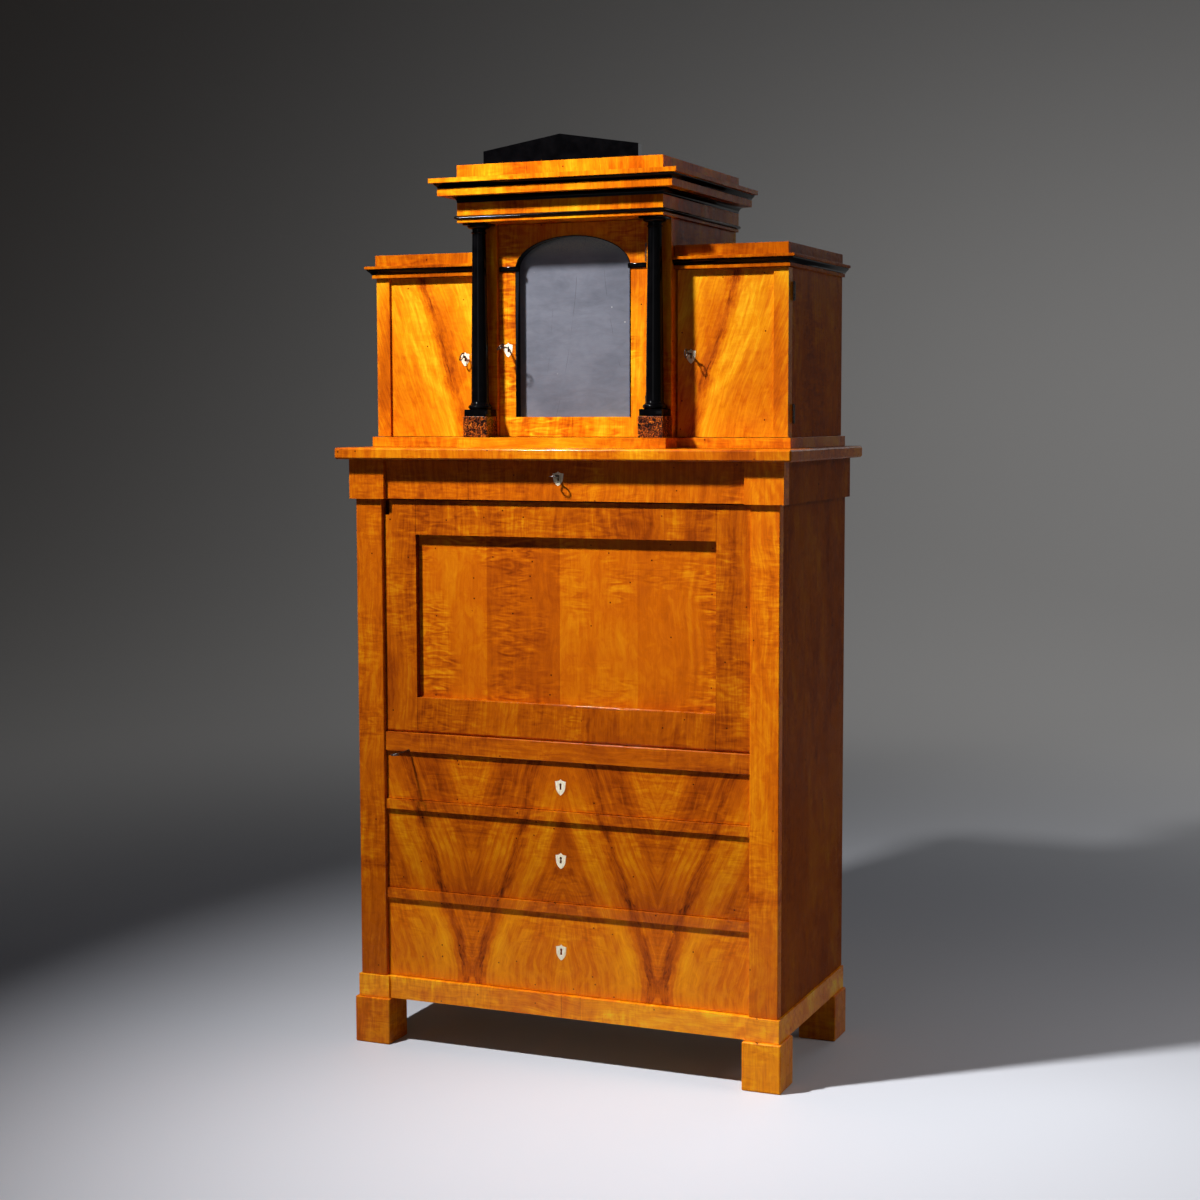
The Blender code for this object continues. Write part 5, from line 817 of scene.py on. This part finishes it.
# The mirror door
# A veneered frame with an arched opening that has an ebonised lining and small imposts. An old
# mirror with foxed silver lies in the rebate behind it, and the door turns on two barrel hinges.
# Half of the mirror's look is a matt blue-grey, a painted reflection, and its foxed top is paler
# as painted light.
finish_board("mirror_door_frame", veneer("mirror_door_veneer", 55.0, 0.86, lift=0.16, curl=0.8,
                                         seams=(("X", 0.0),)))
run_moulding("mirror_edge", "mirror_door", 30)
MIRROR_HINGE = (0.1692, 0.0700 + FRONT_SHIFT)
MIRROR_HINGE_LOWS = (1.3941, 1.7077)
MIRROR_HINGE_LENGTH = 0.036
MIRROR_HINGE_RADIUS = 0.00265
mirror_barrels = bmesh.new()
for low in MIRROR_HINGE_LOWS:
    add_turning(mirror_barrels, barrel_cut(MIRROR_HINGE_LENGTH, MIRROR_HINGE_RADIUS, KNUCKLE_COUNT),
                Matrix.Translation((*MIRROR_HINGE, low)), 18)
set_in("mirror_door_hinges", mirror_barrels, iron, "mirror_door")
SILVER_AND_PAINTED_REFLECTION = ((0.3, (0.20, 0.215, 0.275)), (0.7, (0.31, 0.325, 0.405)))
SPECK_PALE = (0.62, 0.64, 0.68, 1)
SCRATCH_DARK = (0.10, 0.10, 0.12, 1)
FOX_AND_PAINTED_LIGHT_GREY = (0.42, 0.42, 0.40, 1)
FOX_RISE = (1.722, 1.748)
silver, silver_shader = fresh_surface("old_mirror")
silver_haze = clouds(silver, place(silver), 6.0, 4.0, 0.6)
silver_and_reflection_tint = dye(silver, silver_haze, SILVER_AND_PAINTED_REFLECTION)
silver_wipe = clouds(silver, place(silver, (0, 0, 0), (0.5, 1, 1.6)), 26.0, 5.0, 0.75, 0.6)
silver_and_reflection_tint = tinted(silver, 0.30, silver_and_reflection_tint, silver_wipe, "OVERLAY")
specks = node(silver, "TexVoronoi", Vector=place(silver, (0.3, 0, 0.2)), Scale=34.0).outputs
few_specks = node(silver, "SeparateColor", Color=specks["Color"]).outputs[0]
speck = shade_of(silver, "MULTIPLY", within(silver, specks["Distance"], 0.03, 0.05),
                 stretched(silver, 0.70, 0.72, few_specks))
silver_and_reflection_tint = tinted(silver, speck, silver_and_reflection_tint, SPECK_PALE)
slant = clouds(silver, place(silver, (0, 0, 0), (1, 1, 0.25)), 5.0, 0.0)
scratch = within(silver, shade_of(silver, "PINGPONG", slant, 0.06), 0.0002, 0.0005)
scratch = shade_of(silver, "MULTIPLY", scratch, stretched(silver, 0.52, 0.60, clouds(
    silver, place(silver), 22.0, 2.0)))
silver_and_reflection_tint = tinted(silver, scratch, silver_and_reflection_tint, SCRATCH_DARK)
fox_spots = node(silver, "TexVoronoi", Vector=place(silver), Scale=420.0).outputs["Distance"]
fox_spots = shade_of(silver, "ADD", fox_spots, blended(silver, 0.0, silver_haze, 0.5))
silver_at = node(silver, "TexCoord").outputs["Object"]
silver_rise = node(silver, "SeparateXYZ", Vector=silver_at).outputs["Z"]
# Foxing and painted light: the top of the mirror is mixed towards a pale grey with spots, partly
# foxed silver and partly painted light on the top, which lies in the shade of the entablature.
foxing_and_painted_light = shade_of(silver, "MULTIPLY", stretched(silver, *FOX_RISE, silver_rise),
                 stretched(silver, 0.30, 0.62, fox_spots, 1.0, 0.45))
feed(silver_shader.inputs["Base Color"], tinted(silver, foxing_and_painted_light, silver_and_reflection_tint, FOX_AND_PAINTED_LIGHT_GREY), silver)
feed(silver_shader.inputs["Roughness"], stretched(silver, 0.3, 0.7, silver_haze, 0.14, 0.24),
     silver)
# Painted reflection: only half of the mirror reflects. The other half shows its blue-grey as a matt
# surface, which stands in for the reflected room as well as the silver's own tint.
silver_shader.inputs["Metallic"].default_value = 0.5
finish_board("mirror_glass", silver, 0)


# The columns
# Two columns, each turned in one with its base and capital, ebonised and polished, between a square
# plinth and an abacus. They stand on softwood pedestals covered with burl veneer.
BURL = ((0.45, (0.010, 0.003, 0.002)), (0.52, (0.080, 0.012, 0.002)), (0.59, (0.330, 0.064, 0.004)),
        (0.71, (0.720, 0.235, 0.012)))
burl, burl_shader = fresh_surface("burl")
burl_swirl = clouds(burl, place(burl), 130.0, 4.0, 0.6, 2.2)
feed(burl_shader.inputs["Base Color"], dye(burl, burl_swirl, BURL), burl)
feed(burl_shader.inputs["Roughness"], stretched(burl, 0.3, 0.7, burl_swirl, 0.22, 0.36), burl)
burl_shader.inputs["Specular IOR Level"].default_value = 0.3
COLUMN_X = 0.2004
COLUMN_Y = 0.0385 + FRONT_SHIFT
PLINTH_HALF, ABACUS_HALF = 0.0255, 0.026
PLINTH_FOOT, PLINTH_TOP = 1.3876, 1.4023
ABACUS_FOOT, ABACUS_TOP = 1.7907, 1.7949
SHAFT_FOOT, SHAFT_TOP = 1.4205, 1.7739
SHAFT_FOOT_RADIUS, SHAFT_TOP_RADIUS = 0.0187, 0.0143
TORUS_RADIUS, TORUS_TOP = 0.0255, 1.4128
FILLET_RADIUS, FLARE_FOOT = 0.0208, 1.4150
RING_RADIUS, RING_TOP = 0.0166, 1.7775
CAP_RADIUS, CAP_FOOT = 0.0175, 1.7834


def half_round(radius, low, high, inner, steps=10):
    """A round moulding that stands out from the inner radius to the outer one."""
    points = []
    for step in range(steps + 1):
        angle = math.pi * step / steps
        points.append((inner + (radius - inner) * math.sin(angle),
                       (low + high) / 2 - (high - low) / 2 * math.cos(angle)))
    return points


def column_profile():
    """Base, shaft with a slight swell, neck and capital, from the plinth up to the abacus."""
    cut = [(0, PLINTH_TOP - 0.001), (0.0200, PLINTH_TOP - 0.001)]
    cut += half_round(TORUS_RADIUS, PLINTH_TOP, TORUS_TOP, FILLET_RADIUS)
    cut += [(FILLET_RADIUS, TORUS_TOP + 0.0002), (FILLET_RADIUS, FLARE_FOOT - 0.0002)]
    for step in range(7):
        angle = math.pi / 2 * step / 6
        cut.append((0.0205 - 0.0018 * math.sin(angle),
                    SHAFT_FOOT - (SHAFT_FOOT - FLARE_FOOT) * math.cos(angle)))
    for step in range(1, 25):
        share = step / 24
        swell = SHAFT_FOOT_RADIUS - (SHAFT_FOOT_RADIUS - SHAFT_TOP_RADIUS) * share ** 1.35
        cut.append((swell, SHAFT_FOOT + (SHAFT_TOP - SHAFT_FOOT) * share))
    cut += half_round(RING_RADIUS, SHAFT_TOP, RING_TOP, SHAFT_TOP_RADIUS, 8)
    cut += [(SHAFT_TOP_RADIUS, RING_TOP + 0.0005), (SHAFT_TOP_RADIUS, CAP_FOOT - 0.0002),
            (CAP_RADIUS, CAP_FOOT), (CAP_RADIUS, CAP_FOOT + 0.0005)]
    for step in range(9):
        angle = math.pi / 2 * step / 8
        cut.append((0.0188 + 0.0062 * math.sin(angle), ABACUS_FOOT - 0.0065 * math.cos(angle)))
    return cut + [(0.0235, ABACUS_FOOT + 0.0005), (0, ABACUS_FOOT + 0.0005)]


for side_name, side in (("left", -1), ("right", 1)):
    finish_board("pedestal_" + side_name, burl)
    turned_column = bmesh.new()
    axis = Matrix.Translation((side * COLUMN_X, COLUMN_Y, 0))
    add_slab(turned_column, (-PLINTH_HALF, -PLINTH_HALF, PLINTH_FOOT),
             (PLINTH_HALF, PLINTH_HALF, PLINTH_TOP), 0.0007, axis)
    add_turning(turned_column, column_profile(), axis, 72)
    add_slab(turned_column, (-ABACUS_HALF, -ABACUS_HALF, ABACUS_FOOT),
             (ABACUS_HALF, ABACUS_HALF, ABACUS_TOP), 0.0005, axis)
    set_in(f"column_{side_name}_turned", turned_column, black, "case",
           (f"column_{side_name}",))
